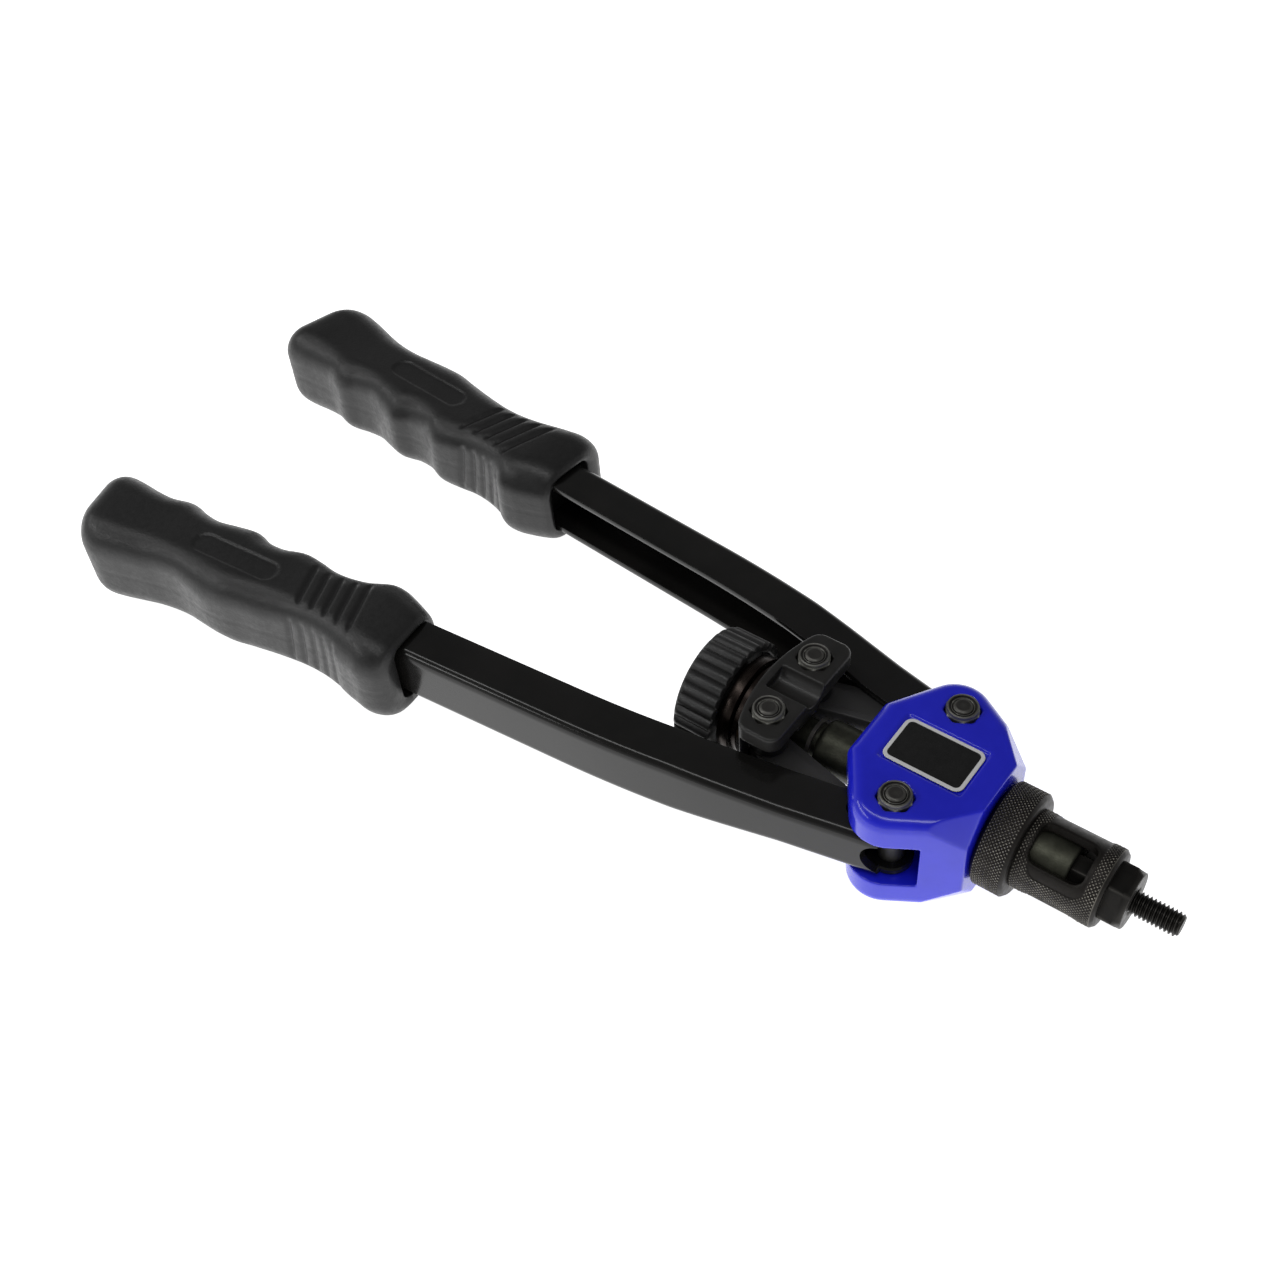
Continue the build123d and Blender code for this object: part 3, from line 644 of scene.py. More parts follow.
def sleeve():
    """Knurled sleeve with its window cut through both sides and its threaded shank at the rear."""
    x0, x1 = SLEEVE_X
    turns = round(2 * pi * SLEEVE_R / KNURL_PITCH) * KNURL_SAMPLES
    theta = angles(turns)
    xs = np.arange(x0 + 0.3, x1 - 0.9, KNURL_STEP)
    near = theta % pi
    skin, inside = [], []
    for x in xs:
        to_window = rounded_box_distance(*unrolled(x, near, WINDOW))
        smooth = 1 - smoothstep(-0.2, 0.25, rounded_box_distance(*unrolled(x, near, RELIEF)))
        lip = np.exp(-(np.maximum(to_window, 0) / LIP_WIDTH) ** 2) * LIP_DEPTH
        pattern = SLEEVE_KNURL_DEPTH * (1 - knurl(theta, x, SLEEVE_R, x0))
        skin.append(SLEEVE_R - RELIEF_DEPTH * smooth - pattern * (1 - smooth) - lip)
        inside.append(to_window < 0)
    inside = np.array(inside)
    rows, cols = inside.shape
    beside = np.roll(inside, -1, 1)
    keep = ~(inside[:-1] & inside[1:] & beside[:-1] & beside[1:])
    grid_x = np.repeat(xs[:, None], cols, 1)
    grid_t = np.repeat(theta[None, :], rows, 0)
    # Points just inside the window's edge slide out onto its outline, so the opening is clean.
    for i in range(rows):
        for j in np.nonzero(inside[i])[0]:
            if keep[max(i - 1, 0):i + 1, [j - 1, j]].any():
                grid_x[i, j], angle = snap_to_window(grid_x[i, j], near[j])
                grid_t[i, j] += angle - near[j]
    verts = []
    for radii in (skin, [np.full(cols, SLEEVE_BORE_R)] * rows):
        for i in range(rows):
            verts += [(x, r * cos(t), r * sin(t)) for x, r, t in zip(grid_x[i], radii[i], grid_t[i])]
    faces = wall_faces(keep, rows, cols)
    # Front chamfer and face, then the seat for the nosepiece; the threaded shank runs back inside the ring.
    front = [(x1 - 0.9, SLEEVE_R - 0.1), (x1 - 0.82, SLEEVE_R - 0.14), (x1 - 0.06, SLEEVE_R - 0.86),
             (x1, SLEEVE_R - 0.95), (x1, 6.05), (xs[-1], 6.05)]
    back = [(x0 + 0.1, SLEEVE_R - 0.2), (x0, SLEEVE_R - 0.4), (x0, SHANK_R), (SHANK_REAR, SHANK_R),
            (SHANK_REAR, SLEEVE_BORE_R)]
    size = rows * cols
    first = len(verts)
    rear = first + len(front) * cols
    verts += rings(front + back, theta)
    faces += grid_faces(len(front), cols, offset=first)
    faces += grid_faces(len(back), cols, offset=rear)
    top = size - cols
    last = rear - cols
    rear_last = rear + (len(back) - 1) * cols
    for j in range(cols):
        k = (j + 1) % cols
        faces.append((top + j, top + k, first + k, first + j))
        faces.append((last + j, last + k, size + top + k, size + top + j))
        faces.append((k, j, rear + j, rear + k))
        faces.append((size + j, size + k, rear_last + k, rear_last + j))
    obj = mesh("knurled_sleeve", verts, faces, "nose", ["nose_sleeve"], KNURL, "black_oxide", angle=50)
    crest_attribute(obj, SLEEVE_R - SLEEVE_KNURL_DEPTH, SLEEVE_R)


def wall_faces(keep, rows, cols):
    """Outer and inner skin of the kept cells, and the wall between them round each opening."""
    size = rows * cols
    faces, edges = [], {}
    for i, j in zip(*np.nonzero(keep)):
        k = (j + 1) % cols
        quad = (i * cols + j, i * cols + k, (i + 1) * cols + k, (i + 1) * cols + j)
        faces += [quad, tuple(q + size for q in reversed(quad))]
        edges.update(dict.fromkeys(zip(quad, quad[1:] + quad[:1])))
    for a, b in edges:
        on_rim = a // cols == b // cols and a // cols in (0, rows - 1)
        if (b, a) not in edges and not on_rim:
            faces.append((b, a, a + size, b + size))
    return faces


def snap_to_window(x, angle):
    """Nearest point of the window's outline, by a few steps down the distance's slope."""
    u, v, half_x, half_t, corner = unrolled(x, angle, WINDOW)
    e = 1e-4
    for _ in range(3):
        d, along, across = (float(rounded_box_distance(a, b, half_x, half_t, corner))
                            for a, b in ((u, v), (u + e, v), (u, v + e)))
        u, v = u - d * ((along - d) / e), v - d * ((across - d) / e)
    (x0, x1), middle = WINDOW[:2]
    return u + (x0 + x1) / 2, v / SLEEVE_R + middle


sleeve()

ANVIL_FLATS = 14.4
MANDREL_FLATS = 8.0
HEX_TURN = radians(2.8)         # lie of both hexagons


def hex_bar(stations, flats, turns=144):
    """Hexagonal ring on the tool's axis; each station is (x, largest radius)."""
    theta = angles(turns)
    outline = hex_radius(theta, flats, HEX_TURN)
    shaped = [(x, np.minimum(outline, limit)) for x, limit in stations]
    return rings(shaped, theta), grid_faces(len(shaped), turns, True)


def anvil():
    """Hexagonal nosepiece, bored for the mandrel."""
    stations = [(-8.2, 6.0), (-5.4, 6.0), (-5.4, 8.0), (-5.15, 8.35), (-1.9, 8.4), (-1.7, 8.25), (-0.14, 7.1),
                (0.0, 6.9), (0.0, 3.7), (-0.35, 3.35), (-3.3, 3.3), (-3.3, 4.9), (-8.2, 4.9)]
    mesh("anvil_nosepiece", *hex_bar(stations, ANVIL_FLATS), "nose", ["anvil"], DARK_STEEL, "dark_steel",
         angle=25)


anvil()

THREAD_DEPTH = 0.6
THREAD_PITCH = 1.0
THREAD_STEPS = 12               # rows of points to a pitch
THREAD_REAR = -9.0
THREAD_FLANK = (0.22, 0.86)     # share of the half pitch where the flank starts and ends
MANDREL_R = 3.0
MANDREL_CORE_R = 2.35
MANDREL_TIP = 11.6


def thread_height(phase):
    """Thread profile: 1 on the crest, 0 in the root."""
    p = np.abs((phase % 1.0) - 0.5) * 2
    root, crest = THREAD_FLANK
    return np.clip((p - root) / (crest - root), 0, 1)


def mandrel():
    """Threaded rod with a chamfered tip and a hexagonal head inside the sleeve."""
    turns = 72
    first, last = THREAD_REAR, MANDREL_TIP
    count = int((last - first) / THREAD_PITCH * THREAD_STEPS) + THREAD_STEPS + 2
    verts = []
    for i in range(count):
        base = first - THREAD_PITCH + i * THREAD_PITCH / THREAD_STEPS
        for t in angles(turns):
            x = base + THREAD_PITCH * t / (2 * pi)
            cut = 1 - float(thread_height((x / THREAD_PITCH) - t / (2 * pi)))
            x = min(max(x, first), last)
            r = min(MANDREL_R - THREAD_DEPTH * cut, MANDREL_R - 0.75 + (last - x) * 0.9)
            verts.append((x, r * cos(t), r * sin(t)))
    faces = []
    for i in range(count - 1):
        row = i * turns
        faces += [(row + j, row + j + 1, row + turns + j + 1, row + turns + j) for j in range(turns - 1)]
        # The seam: the helix joins each row's end to the start of the row one pitch on.
        if i + THREAD_STEPS + 1 < count:
            start = (i + THREAD_STEPS) * turns
            faces.append((row + turns - 1, start, start + turns, row + 2 * turns - 1))
    cap = lathe([(last - 0.02, 0.0), (last, 1.0), (last, MANDREL_R - 0.8), (last - 0.25, MANDREL_R - 0.72),
                 (last - 0.3, 0.0)], turns)
    core = lathe([(-15.0, 0.0), (-15.0, MANDREL_CORE_R), (last - 0.4, MANDREL_CORE_R), (last - 0.4, 0.0)],
                 turns)
    head = hex_bar([(-10.2, 2.2), (-10.2, 4.1), (-10.5, 4.45), (-10.9, 4.62), (-19.0, 4.62), (-19.0, 2.2)],
                   MANDREL_FLATS)
    mesh("threaded_mandrel", *join([(verts, faces), cap, core, head]), "spindle", ["mandrel"], DARK_STEEL,
         "dark_steel", angle=35)


mandrel()


def chuck():
    """Grey coupling that holds the mandrel's head on the pull rod."""
    profile = [(-40.0, ROD_R), (-40.0, 6.9), (-39.7, 7.2), (-15.3, 7.2), (-14.95, 7.1), (-14.7, 6.85),
               (-14.7, 4.7), (-28.0, 4.7), (-28.0, ROD_R)]
    mesh("mandrel_coupling", *lathe(profile), "spindle", ["mandrel_chuck"], CHUCK_STEEL, "grey_steel",
         angle=35)


chuck()


# ---- spindle ----
def knob():
    """Ribbed knob: a fluted rim round a hub, hollow between them at the front."""
    x0, x1 = KNOB_X
    ribs = 30
    turns = ribs * 16
    theta = angles(turns)
    groove = 0.95 * (1 - np.abs(np.sin(theta * ribs / 2)) ** 0.8)
    # X, radius and the share of the grooves' depth that is cut there.
    stations = [
        (x0 + 3.0, 4.7, 0), (x0 + 3.0, 8.0, 0), (x0 + 0.25, 8.2, 0), (x0, 8.6, 0), (x0, KNOB_R - 2.3, 0),
        (x0 + 0.16, KNOB_R - 1.35, 0), (x0 + 0.55, KNOB_R - 0.6, 0.25), (x0 + 1.1, KNOB_R - 0.16, 0.75),
        (x0 + 1.7, KNOB_R, 1), (x0 + 6.0, KNOB_R, 1), (x1 - 0.5, KNOB_R, 1), (x1 - 0.16, KNOB_R - 0.14, 1),
        (x1, KNOB_R - 0.5, 0.8), (x1, KNOB_R - 2.2, 0), (x1 - 0.3, KNOB_R - 2.6, 0),
        (x1 - 3.2, KNOB_R - 2.7, 0), (x1 - 3.2, 9.2, 0), (x1 - 0.2, 9.0, 0), (x1, 8.8, 0), (x1, 4.7, 0)]
    fluted = [(x, r - groove * cut) for x, r, cut in stations]
    mesh("ribbed_knob", rings(fluted, theta), grid_faces(len(fluted), turns, True), "spindle",
         ["control_knob"], KNOB_PLASTIC, "black_plastic", angle=35)


knob()


def rod():
    """Pull rod, the two thrust discs on it and the screw that holds the knob."""
    end = -119.6
    profile = [(end, 0.0), (end, 4.0), (-119.1, ROD_R), (-82.6, ROD_R), (-82.6, 5.5), (-82.48, 6.1),
               (-82.1, 6.55), (-81.5, 6.76), (-80.8, 6.8), (-40.7, 6.8), (-40.3, 6.4), (-40.3, ROD_R),
               (-28.0, ROD_R), (-28.0, 0.0)]
    mesh("pull_shaft", *lathe(profile), "spindle", ["pull_rod"], ROD_STEEL, "grey_steel", angle=35)
    disc = [(-106.3, ROD_R), (-106.3, 13.1), (-106.15, 13.45), (-105.8, 13.6), (-103.5, 13.6),
            (-103.15, 13.45), (-103.0, 13.1), (-103.0, ROD_R)]
    mesh("thrust_disc", *lathe(disc, 128), "spindle", ["thrust_collar"], POLISHED, "polished_steel", angle=35)
    thin = [(-102.7, ROD_R), (-102.7, 12.0), (-102.55, 12.2), (-101.35, 12.2), (-101.2, 12.0),
            (-101.2, ROD_R)]
    mesh("thrust_ring", *lathe(thin, 128), "spindle", ["thrust_washer"], POLISHED, "grey_steel", angle=35)
    low = -121.5
    screw = [(-107.2, 0.0), (-107.2, 2.4), (end, 2.4), (end, 4.5), (end - 0.5, 4.55), (end - 1.2, 4.2),
             (end - 1.7, 3.6), (low, 2.6), (low, 1.75)]
    mesh("knob_cap_screw", *join([lathe(screw, ROUND), key_socket(low, 1.75, 1.2)]), "spindle",
         ["knob_screw"], ZINC, "black_zinc", angle=35)


rod()


# ---- yoke ----
softened("yoke_bracket", "yoke_casting", "yoke", CAST_PAINT, 0.26, 4)


# ---- arms ----
def arm_path(distance):
    """Point and outward normal of the left arm's outer wall, at a distance back from its front end."""
    turn = FRONT_ANGLE - REAR_ANGLE
    reach = KNEE_R * tan(turn / 2)
    knee = np.array(ARM_KNEE)
    front = np.array((cos(FRONT_ANGLE), -sin(FRONT_ANGLE)))
    rear = np.array((-cos(REAR_ANGLE), sin(REAR_ANGLE)))
    start = knee + front * ((ARM_FRONT - knee[0]) / front[0])
    first = np.linalg.norm(knee - start) - reach
    arc = KNEE_R * turn
    if distance <= first:
        return start - front * distance, np.array((sin(FRONT_ANGLE), cos(FRONT_ANGLE)))
    if distance >= first + arc:
        return knee + rear * (reach + distance - first - arc), np.array((sin(REAR_ANGLE), cos(REAR_ANGLE)))
    angle = FRONT_ANGLE - (distance - first) / KNEE_R
    normal = np.array((sin(angle), cos(angle)))
    centre = knee + front * reach - np.array((sin(FRONT_ANGLE), cos(FRONT_ANGLE))) * KNEE_R
    return centre + normal * KNEE_R, normal


NOTCH_X = -52.7
NOTCH_R = 5.0
NOTCH_BLEND = 9.0               # length over which the shaped front end fades into straight rows
EYE_R = 5.6
BUSH_R = 3.3
BEND_R = 2.6                    # outside and inside of the sheet's bend
BEND_INNER_R = 0.6
BEND_STEPS = 8
WEB_STEPS = 14


def channel(high):
    """Section of the channel, lip to lip: pairs of (in from the outer wall, z), outside then inside."""
    pairs = [((ARM_W, high - 0.45), (ARM_W, high - SHEET + 0.45)),
             ((ARM_W - 0.13, high - 0.13), (ARM_W - 0.13, high - SHEET + 0.13))]
    pairs += [((a, high), (a, high - SHEET)) for a in (ARM_W - 0.45, 9.5, 6.5, 4.0)]
    middle = high - BEND_R
    for k in range(BEND_STEPS + 1):
        t = pi / 2 * k / BEND_STEPS
        pairs.append(((BEND_R - BEND_R * sin(t), middle + BEND_R * cos(t)),
                      (BEND_R - BEND_INNER_R * sin(t), middle + BEND_INNER_R * cos(t))))
    for k in range(1, WEB_STEPS + 1):
        z = middle * (1 - k / WEB_STEPS)
        pairs.append(((0.0, z), (SHEET, z)))
    return pairs + [((a, -b), (c, -d)) for (a, b), (c, d) in reversed(pairs[:-1])]


def front_shift(a, z):
    """How far the front end lies behind the path's start: a straight cut, with a round notch in the web."""
    notch = 0.0
    if a < SHEET + 0.7 and abs(z) < NOTCH_R:
        notch = max(0.0, ARM_FRONT - NOTCH_X + sqrt(NOTCH_R ** 2 - z * z)) / cos(FRONT_ANGLE)
    return notch - a * tan(FRONT_ANGLE)


def arm_mesh():
    """The left arm: the channel swept along its path, with rings round the pivot hole."""
    spots = list(np.arange(0.0, NOTCH_BLEND, 0.5)) + list(np.arange(NOTCH_BLEND, 240.0, 1.5))
    rear, front = ARM_TAPER
    rows = []
    for s in spots:
        x = arm_path(s)[0][0]
        if x < ARM_END + 1.2:
            break
        high = ARM_LOW + (ARM_HIGH - ARM_LOW) * float(np.clip((front - x) / (front - rear), 0, 1))
        pairs = channel(high)
        row = []
        for a, z in [p[0] for p in pairs] + [p[1] for p in pairs]:
            point, normal = arm_path(s + front_shift(a, z) * max(0.0, 1 - s / NOTCH_BLEND))
            row.append((point[0] - normal[0] * a, point[1] - normal[1] * a, z))
        rows.append(row)
    half = len(rows[0]) // 2
    count = 2 * half
    loop = list(range(half)) + list(range(count - 1, half - 1, -1))
    verts = [row[k] for row in rows for k in loop]
    faces = grid_faces(len(rows), count)
    for i in (0, len(rows) - 1):
        for k in range(half - 1):
            a, b = i * count + k, i * count + k + 1
            c, d = i * count + count - 2 - k, i * count + count - 1 - k
            faces.append((a, b, c, d))
    eyes = []
    for up in (1, -1):
        low, high = sorted((up * (ARM_LOW + 0.06), up * (ARM_LOW - SHEET - 0.06)))
        profile = [(low, BUSH_R + 0.02), (low, EYE_R - 0.4), (low + 0.4, EYE_R), (high - 0.4, EYE_R),
                   (high, EYE_R - 0.4), (high, BUSH_R + 0.02)]
        eyes.append(lathe(profile, 96, PIVOT))
    return join([(verts, faces)] + eyes)


# Stations back from the grip's datum: distance, outward and inward half width, half height.
GRIP_STATIONS = np.array([
    (2.8, 11.8, 8.7, 11.2), (4.0, 13.8, 9.8, 12.6), (6.2, 15.2, 10.8, 13.5), (10.0, 15.8, 12.3, 14.1),
    (14.0, 15.0, 13.6, 14.3), (18.0, 14.1, 13.8, 14.1), (24.0, 12.0, 10.9, 13.7), (30.0, 10.9, 9.7, 13.3),
    (36.0, 10.8, 9.8, 13.0), (42.0, 11.5, 11.2, 12.9), (48.0, 12.4, 12.0, 12.9), (54.0, 13.0, 10.2, 13.0),
    (60.0, 14.0, 10.3, 13.1), (66.0, 14.2, 12.2, 13.1), (72.0, 13.3, 11.1, 13.2), (78.0, 12.3, 9.7, 13.3),
    (84.0, 12.5, 10.4, 13.4), (90.0, 13.6, 12.1, 13.5), (96.0, 14.6, 10.8, 13.8), (102.0, 15.8, 11.0, 14.2),
    (108.0, 16.6, 11.8, 14.6), (112.0, 15.9, 11.8, 14.4), (115.0, 14.0, 10.5, 13.0), (117.0, 11.4, 8.4, 10.8),
    (118.2, 8.0, 5.6, 7.8)])
GRIP_FRONT = 2.8
GRIP_LENGTH = 118.2
GRIP_DROP = 1.0                 # the grips sit this much below the arms' middle
GRIP_SHIFT = 2.4                # the left grip sits this much further back, the right one further forward
GRIP_CORNER = 0.62              # corner radius as a share of the smaller half size
END_SKEW = 0.22                 # slant of the sections at the rear end
SKEW_START = 88.0
POCKET = (0.28, 1.0, 7.5, 9.5)  # the arm's socket: middle and half size, across and up
POCKET_CORNER = 2.6
POCKET_FLOOR = 8.0


def grip_profile(u):
    """Outward, inward and vertical half sizes at a distance back from the grip's datum."""
    return tuple(float(curve(GRIP_STATIONS[:, (0, k)], u)) for k in (1, 2, 3))


def curve(table, u):
    """Smooth interpolation through a few stations."""
    xs = [p[0] for p in table]
    ys = [p[1] for p in table]
    u = min(max(u, xs[0]), xs[-1])
    i = max(k for k in range(len(xs) - 1) if xs[k] <= u)
    slopes = []
    for k in (i, i + 1):
        a, b = max(k - 1, 0), min(k + 1, len(xs) - 1)
        slopes.append((ys[b] - ys[a]) / (xs[b] - xs[a]))
    h = xs[i + 1] - xs[i]
    t = (u - xs[i]) / h
    return (ys[i] * (2 * t ** 3 - 3 * t ** 2 + 1) + slopes[0] * h * (t ** 3 - 2 * t ** 2 + t)
            + ys[i + 1] * (3 * t ** 2 - 2 * t ** 3) + slopes[1] * h * (t ** 3 - t ** 2))


# Grooves across the top and the sides: distances back from the datum, slant, depth.
TOP_GROOVES = [19.4, 23.9, 28.5, 33.2, 37.9]
TOP_GROOVE = (0.31, 0.75)
SIDE_GROOVES = [21.4, 25.6, 29.8, 34.0, 38.2]
SIDE_GROOVE = (0.15, 0.6)
GROOVE_WIDTH = 0.85
OVAL = (62.2, 1.7, 14.6, 3.4)   # the long recess: middle and half size, along and across
OVAL_DEPTH = 0.42
PARTING_DEPTH = 0.10
PARTING_WIDTH = 0.35
CORNER_STEPS = 16
FLAT_STEPS = (24, 14)


def section(half_w, half_h, corner, mid_v=0.0, mid_z=0.0):
    """Rounded rectangle as arrays of v (outward) and z, always with the same number of points."""
    a, b = half_w - corner, half_h - corner
    middles = ((a, b), (-a, b), (-a, -b), (a, -b), (a, b))
    v, z = [], []
    for k in range(4):
        here, there = middles[k], middles[k + 1]
        t = (k + np.arange(CORNER_STEPS + 1) / CORNER_STEPS) * pi / 2
        v += list(here[0] + corner * np.cos(t))
        z += list(here[1] + corner * np.sin(t))
        steps = FLAT_STEPS[k % 2]
        for f in np.arange(1, steps) / steps:
            v.append(here[0] + (there[0] - here[0]) * f + corner * cos(t[-1]))
            z.append(here[1] + (there[1] - here[1]) * f + corner * sin(t[-1]))
    return np.array(v) + mid_v, np.array(z) + mid_z


def grip_section(outward, inward, height):
    """Rounded rectangle that reaches further on one side than on the other."""
    half_w = (outward + inward) / 2
    return section(half_w, height, GRIP_CORNER * min(half_w, height), (outward - inward) / 2)


def grip_mesh(shift):
    """The left grip, pushed back along the arm by shift."""
    spots = np.concatenate([np.arange(2.9, 4.0, 0.2), np.arange(4, 16, 0.5), np.arange(16, 44, 0.3),
                            np.arange(44, 112, 0.6), np.arange(112, 118.21, 0.25)])
    mid_v, mid_z, half_v, half_z = POCKET
    socket = section(half_v, half_z, POCKET_CORNER, mid_v, mid_z)
    mouth = section(half_v + 0.35, half_z + 0.2, POCKET_CORNER + 0.3, mid_v, mid_z)
    rows = [(POCKET_FLOOR, *section(0.4, 0.4, 0.2, mid_v, mid_z)), (POCKET_FLOOR, *socket), (3.15, *socket),
            (GRIP_FRONT, *mouth), (GRIP_FRONT, *grip_section(11.3, 8.3, 10.9))]
    for u in spots:
        sizes = grip_profile(u)
        rows.append((u, *detail(u, *grip_section(*sizes), *sizes)))
    rows += [(GRIP_LENGTH, *grip_section(7.2, 4.8, 7.0)), (GRIP_LENGTH, *grip_section(0.4, 0.4, 0.4))]
    axis = np.array((-cos(REAR_ANGLE), sin(REAR_ANGLE)))
    out = np.array((sin(REAR_ANGLE), cos(REAR_ANGLE)))
    start = np.array(GRIP_ORIGIN) + axis * shift
    verts = []
    for u, vs, zs in rows:
        across = out - axis * END_SKEW * max(0.0, u - SKEW_START) / 30
        across /= np.linalg.norm(across)
        for v, z in zip(vs, zs):
            at = start + axis * u + across * v
            verts.append((at[0], at[1], z - GRIP_DROP))
    return verts, capped_grid(len(rows), len(rows[0][1]))


def detail(u, v, z, outward, inward, height):
    """Grooves, the long recess on top and below, and the parting line, cut into one section."""
    mid = (outward - inward) / 2
    across = (v - mid) / ((outward + inward) / 2)
    up = z / height
    top = smoothstep(0.80, 0.93, np.abs(up)) * (1 - smoothstep(0.50, 0.68, np.abs(across)))
    side = smoothstep(0.84, 0.95, np.abs(across)) * (1 - smoothstep(0.55, 0.74, np.abs(up)))
    cut_top = grooves(u, v, TOP_GROOVES, *TOP_GROOVE)
    cut_side = grooves(u, z, SIDE_GROOVES, *SIDE_GROOVE)
    mid_u, mid_v, half_u, half_v = OVAL
    to_oval = rounded_box_distance(np.full_like(v, u) - mid_u, v - mid_v, half_u, half_v, half_v - 0.1)
    recess = 1 - smoothstep(-0.22, 0.22, to_oval)
    line = np.exp(-(z / PARTING_WIDTH) ** 2) * (np.abs(across) > 0.5) * PARTING_DEPTH
    z = z - np.sign(z) * (cut_top * top + OVAL_DEPTH * recess * (np.abs(up) > 0.5))
    v = v - np.sign(across) * (cut_side * side + line)
    return v, z


def grooves(u, w, places, slant, depth):
    """Depth cut by slanting grooves at a distance u, over the places w across them."""
    return sum(np.exp(-((u + slant * w - g) / GROOVE_WIDTH) ** 2) for g in places) * depth


arm = arm_mesh()
side_low, side_high = (MM_PER_M * corner[1] for corner in cad_box)
for side, change, shift in (("left", None, GRIP_SHIFT), ("right", flip_y, -GRIP_SHIFT)):
    for name, node, shape, material, slot, angle in (
            ("channel_arm", "arm", arm, ARM_PAINT, "black_paint", 35),
            ("moulded_grip", "grip", grip_mesh(shift), GRIP_PLASTIC, "grip", 60)):
        verts, faces = change(*shape) if change else shape
        # The finer mesh would stand a few micrometres outside the CAD box, so it is held to it.
        verts = [(x, min(max(y, side_low), side_high), z) for x, y, z in verts]
        mesh(f"{side}_{name}", verts, faces, f"{side}_lever", [f"{side}_{node}"], material, slot, angle=angle)


# ---- links and the CAD nodes that stay ----
LINK_LENGTH = 29.894            # from the yoke's bolt to the clearance hole for the arm's pin
LINK_ANGLE = radians(13.713)
LINK_EYES = (4.9, 5.1)
LINK_HOLES = (2.56, 3.1)
LINK_HALF_T = 3.7
# Eased edge of the bar: how far in from each face, and how far in from the outline.
LINK_EDGE = ((0.0, 0.35), (0.12, 0.12), (0.35, 0.0))


def link_outline(inset):
    """Outline round both eyes of the link, in its own frame."""
    back, front = LINK_EYES[0] - inset, LINK_EYES[1] - inset
    turn = acos((back - front) / LINK_LENGTH)
    points = [(LINK_LENGTH + front * cos(t), front * sin(t)) for t in np.linspace(-turn, turn, 33)]
    return points + [(back * cos(t), back * sin(t)) for t in np.linspace(turn, 2 * pi - turn, 33)]


def link_bar():
    """The left link: a bar with an eye at each end, bored through."""
    holes = [[(x + r * cos(t), r * sin(t)) for t in angles(48)]
             for x, r in ((0.0, LINK_HOLES[0]), (LINK_LENGTH, LINK_HOLES[1]))]
    levels = [(depth - LINK_HALF_T, inset) for depth, inset in LINK_EDGE]
    levels += [(LINK_HALF_T - depth, inset) for depth, inset in reversed(LINK_EDGE)]
    verts = [(x, y, z) for z, inset in levels for x, y in link_outline(inset)]
    faces = grid_faces(len(levels), len(verts) // len(levels))
    for hole in holes:
        base = len(verts)
        verts += [(x, y, z) for z in (-LINK_HALF_T, LINK_HALF_T) for x, y in hole]
        faces += grid_faces(2, len(hole), offset=base)
    loops = [link_outline(LINK_EDGE[0][1]), *holes]
    triangles = tessellate_polygon([[Vector((x, y, 0.0)) for x, y in loop] for loop in loops])
    for z in (-LINK_HALF_T, LINK_HALF_T):
        base = len(verts)
        verts += [(x, y, z) for loop in loops for x, y in loop]
        faces += [tuple(base + i for i in triangle) for triangle in triangles]
    c, s = cos(LINK_ANGLE), sin(LINK_ANGLE)
    return [(YOKE_BOLT[0] + x * c - y * s, YOKE_BOLT[1] + x * s + y * c, z) for x, y, z in verts], faces


bar = link_bar()
for side, shape in (("left", bar), ("right", flip_y(*bar))):
    mesh(f"{side}_link_bar", *shape, f"{side}_link", [f"{side}_link"], LINK_STEEL, "link_steel", angle=35)

# The arms' pivot bushes take the black cast paint as painted shade, as dark as the shade inside the arms'
# front ends.
STAY = {"rod_guide_bush": BRONZE, "yoke_bush": BRONZE, "rod_circlip": DARK_STEEL, "knob_washer": ROD_STEEL,
        "left_arm_bush": CAST_PAINT, "right_arm_bush": CAST_PAINT, "left_link_pin": CAST_PAINT,
        "right_link_pin": CAST_PAINT}
for node, material in STAY.items():
    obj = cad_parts[node]
    obj.data.materials.clear()
    obj.data.materials.append(material)


# ---- room, light, camera ----
FLOOR_Z = -0.0195               # metres, as are all sizes below but the camera's place
FLOOR_HALF = 6
floor_mesh = bpy.data.meshes.new("floor")
corners = [(x * FLOOR_HALF, y * FLOOR_HALF, FLOOR_Z) for x, y in ((-1, -1), (1, -1), (1, 1), (-1, 1))]
floor_mesh.from_pydata(corners, [], [(0, 1, 2, 3)])
floor = add("floor", floor_mesh)
paper = Nodes("white_paper").set(Base_Color=(0.9, 0.9, 0.9, 1), Roughness=0.9, Specular_IOR_Level=0.1)
paper.set(Emission_Color=(1, 1, 1, 1))
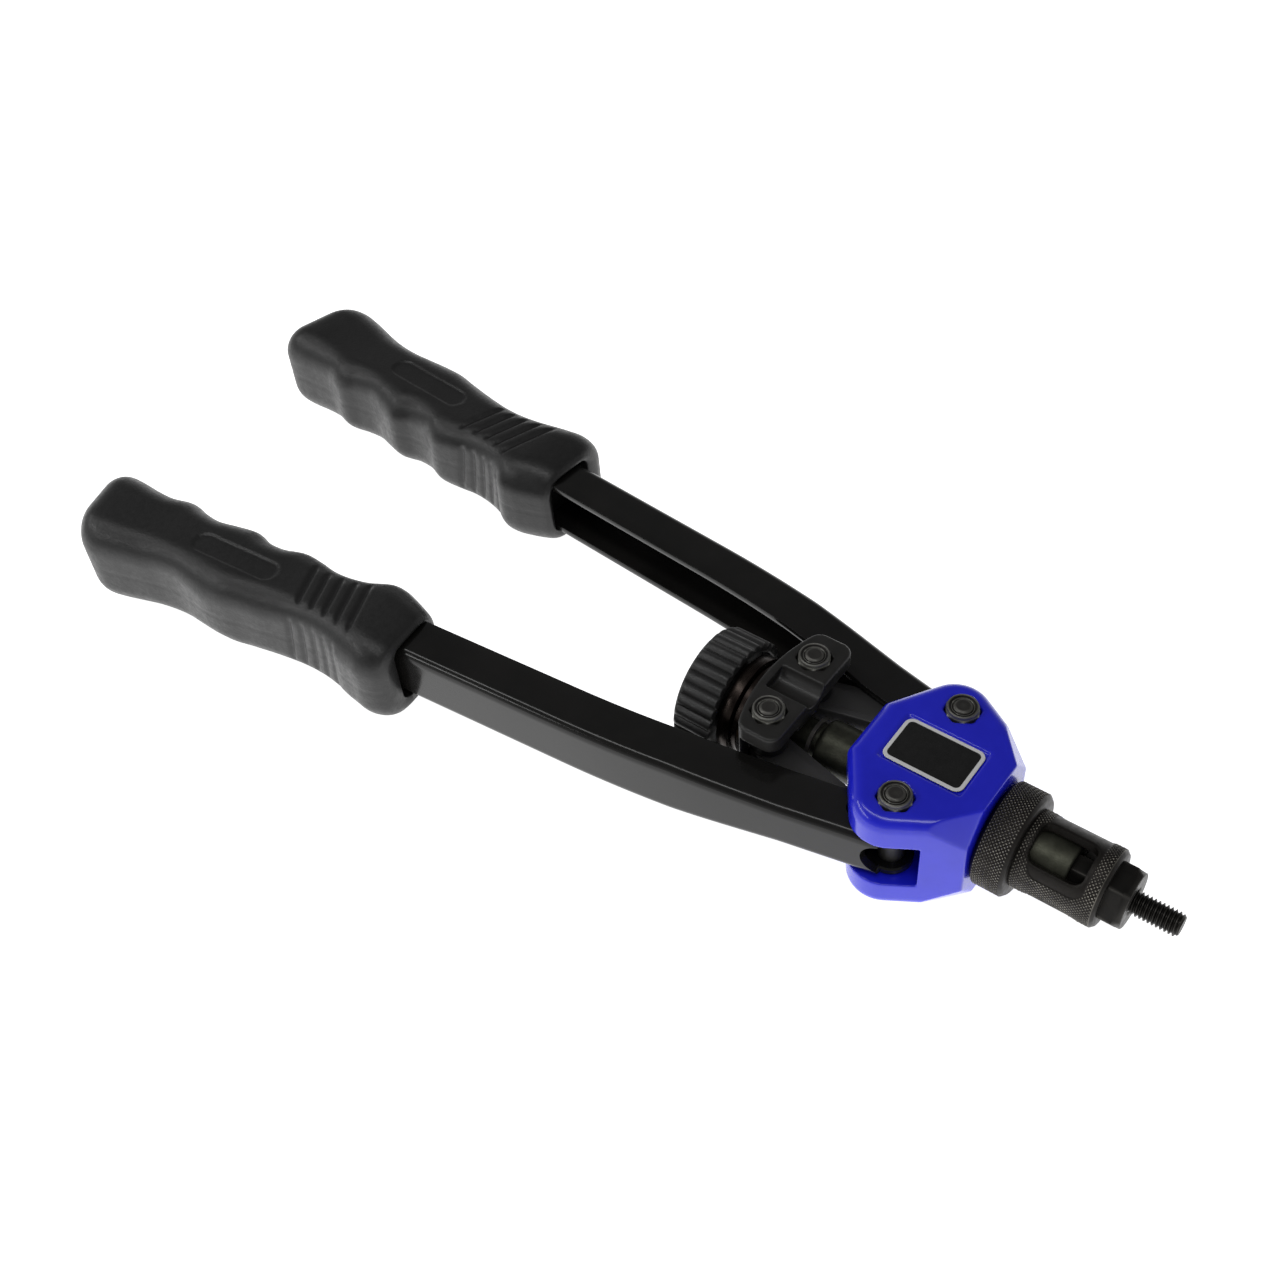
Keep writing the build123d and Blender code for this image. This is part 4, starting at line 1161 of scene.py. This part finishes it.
# The floor shines white round the tool, and less from 0.5 m to 1.3 m away.
away = paper.t.nodes.new("ShaderNodeVectorMath")
away.operation = "LENGTH"
paper.t.links.new(paper.coord, away.inputs[0])
glow = paper.ramp(away.outputs["Value"], 0.5, 1.3, 0.98, 0.5)
paper.t.links.new(glow, paper.bsdf.inputs["Emission Strength"])
floor_mesh.materials.append(paper.m)

world = bpy.data.worlds.new("light_tent")
bpy.context.scene.world = world
world.use_nodes = True
sky = world.node_tree
background = sky.nodes["Background"]
background.inputs["Color"].default_value = (1, 1, 1, 1)
height = sky.nodes.new("ShaderNodeSeparateXYZ")
sky.links.new(sky.nodes.new("ShaderNodeTexCoord").outputs["Generated"], height.inputs["Vector"])
fade = map_range(sky, height.outputs["Z"], 0.05, 0.50, 0.6, 0.15)
sky.links.new(fade, background.inputs["Strength"])


def softbox(name, place, size, power):
    """A rectangular lamp aimed at the tool."""
    data = bpy.data.lights.new(name, "AREA")
    data.shape = "RECTANGLE"
    data.size, data.size_y = size
    data.energy = power
    obj = add(name, data)
    obj.location = place
    obj.rotation_euler = (Vector(MIDDLE) - Vector(place)).to_track_quat("-Z", "Y").to_euler()


MIDDLE = (-0.14, 0.0, 0.0)
softbox("overhead", (-0.18, -0.28, 1.0), (1.5, 0.15), 3.4)
softbox("strip", (-0.95, -0.60, 0.66), (1.1, 0.14), 2.8)

CAMERA_PLACE = (48.02, -217.79, 318.58)
azimuth, elevation, roll = radians(40.78), radians(47.63), radians(-5.44)
look = Vector((-sin(azimuth) * cos(elevation), cos(azimuth) * cos(elevation), -sin(elevation)))
right = Vector((cos(azimuth), sin(azimuth), 0))
up = right.cross(look)
right_axis = right * cos(roll) + up * sin(roll)
up_axis = up * cos(roll) - right * sin(roll)
camera_data = bpy.data.cameras.new("camera")
camera_data.sensor_width = 36.0
camera_data.lens = 45.6
camera_data.clip_start = 0.01
camera = add("camera", camera_data)
turned = Matrix((right_axis, up_axis, -look)).transposed().to_4x4()
camera.matrix_world = Matrix.Translation(Vector(CAMERA_PLACE) * MM) @ turned
bpy.context.scene.camera = camera
bpy.context.scene.view_settings.view_transform = "Standard"
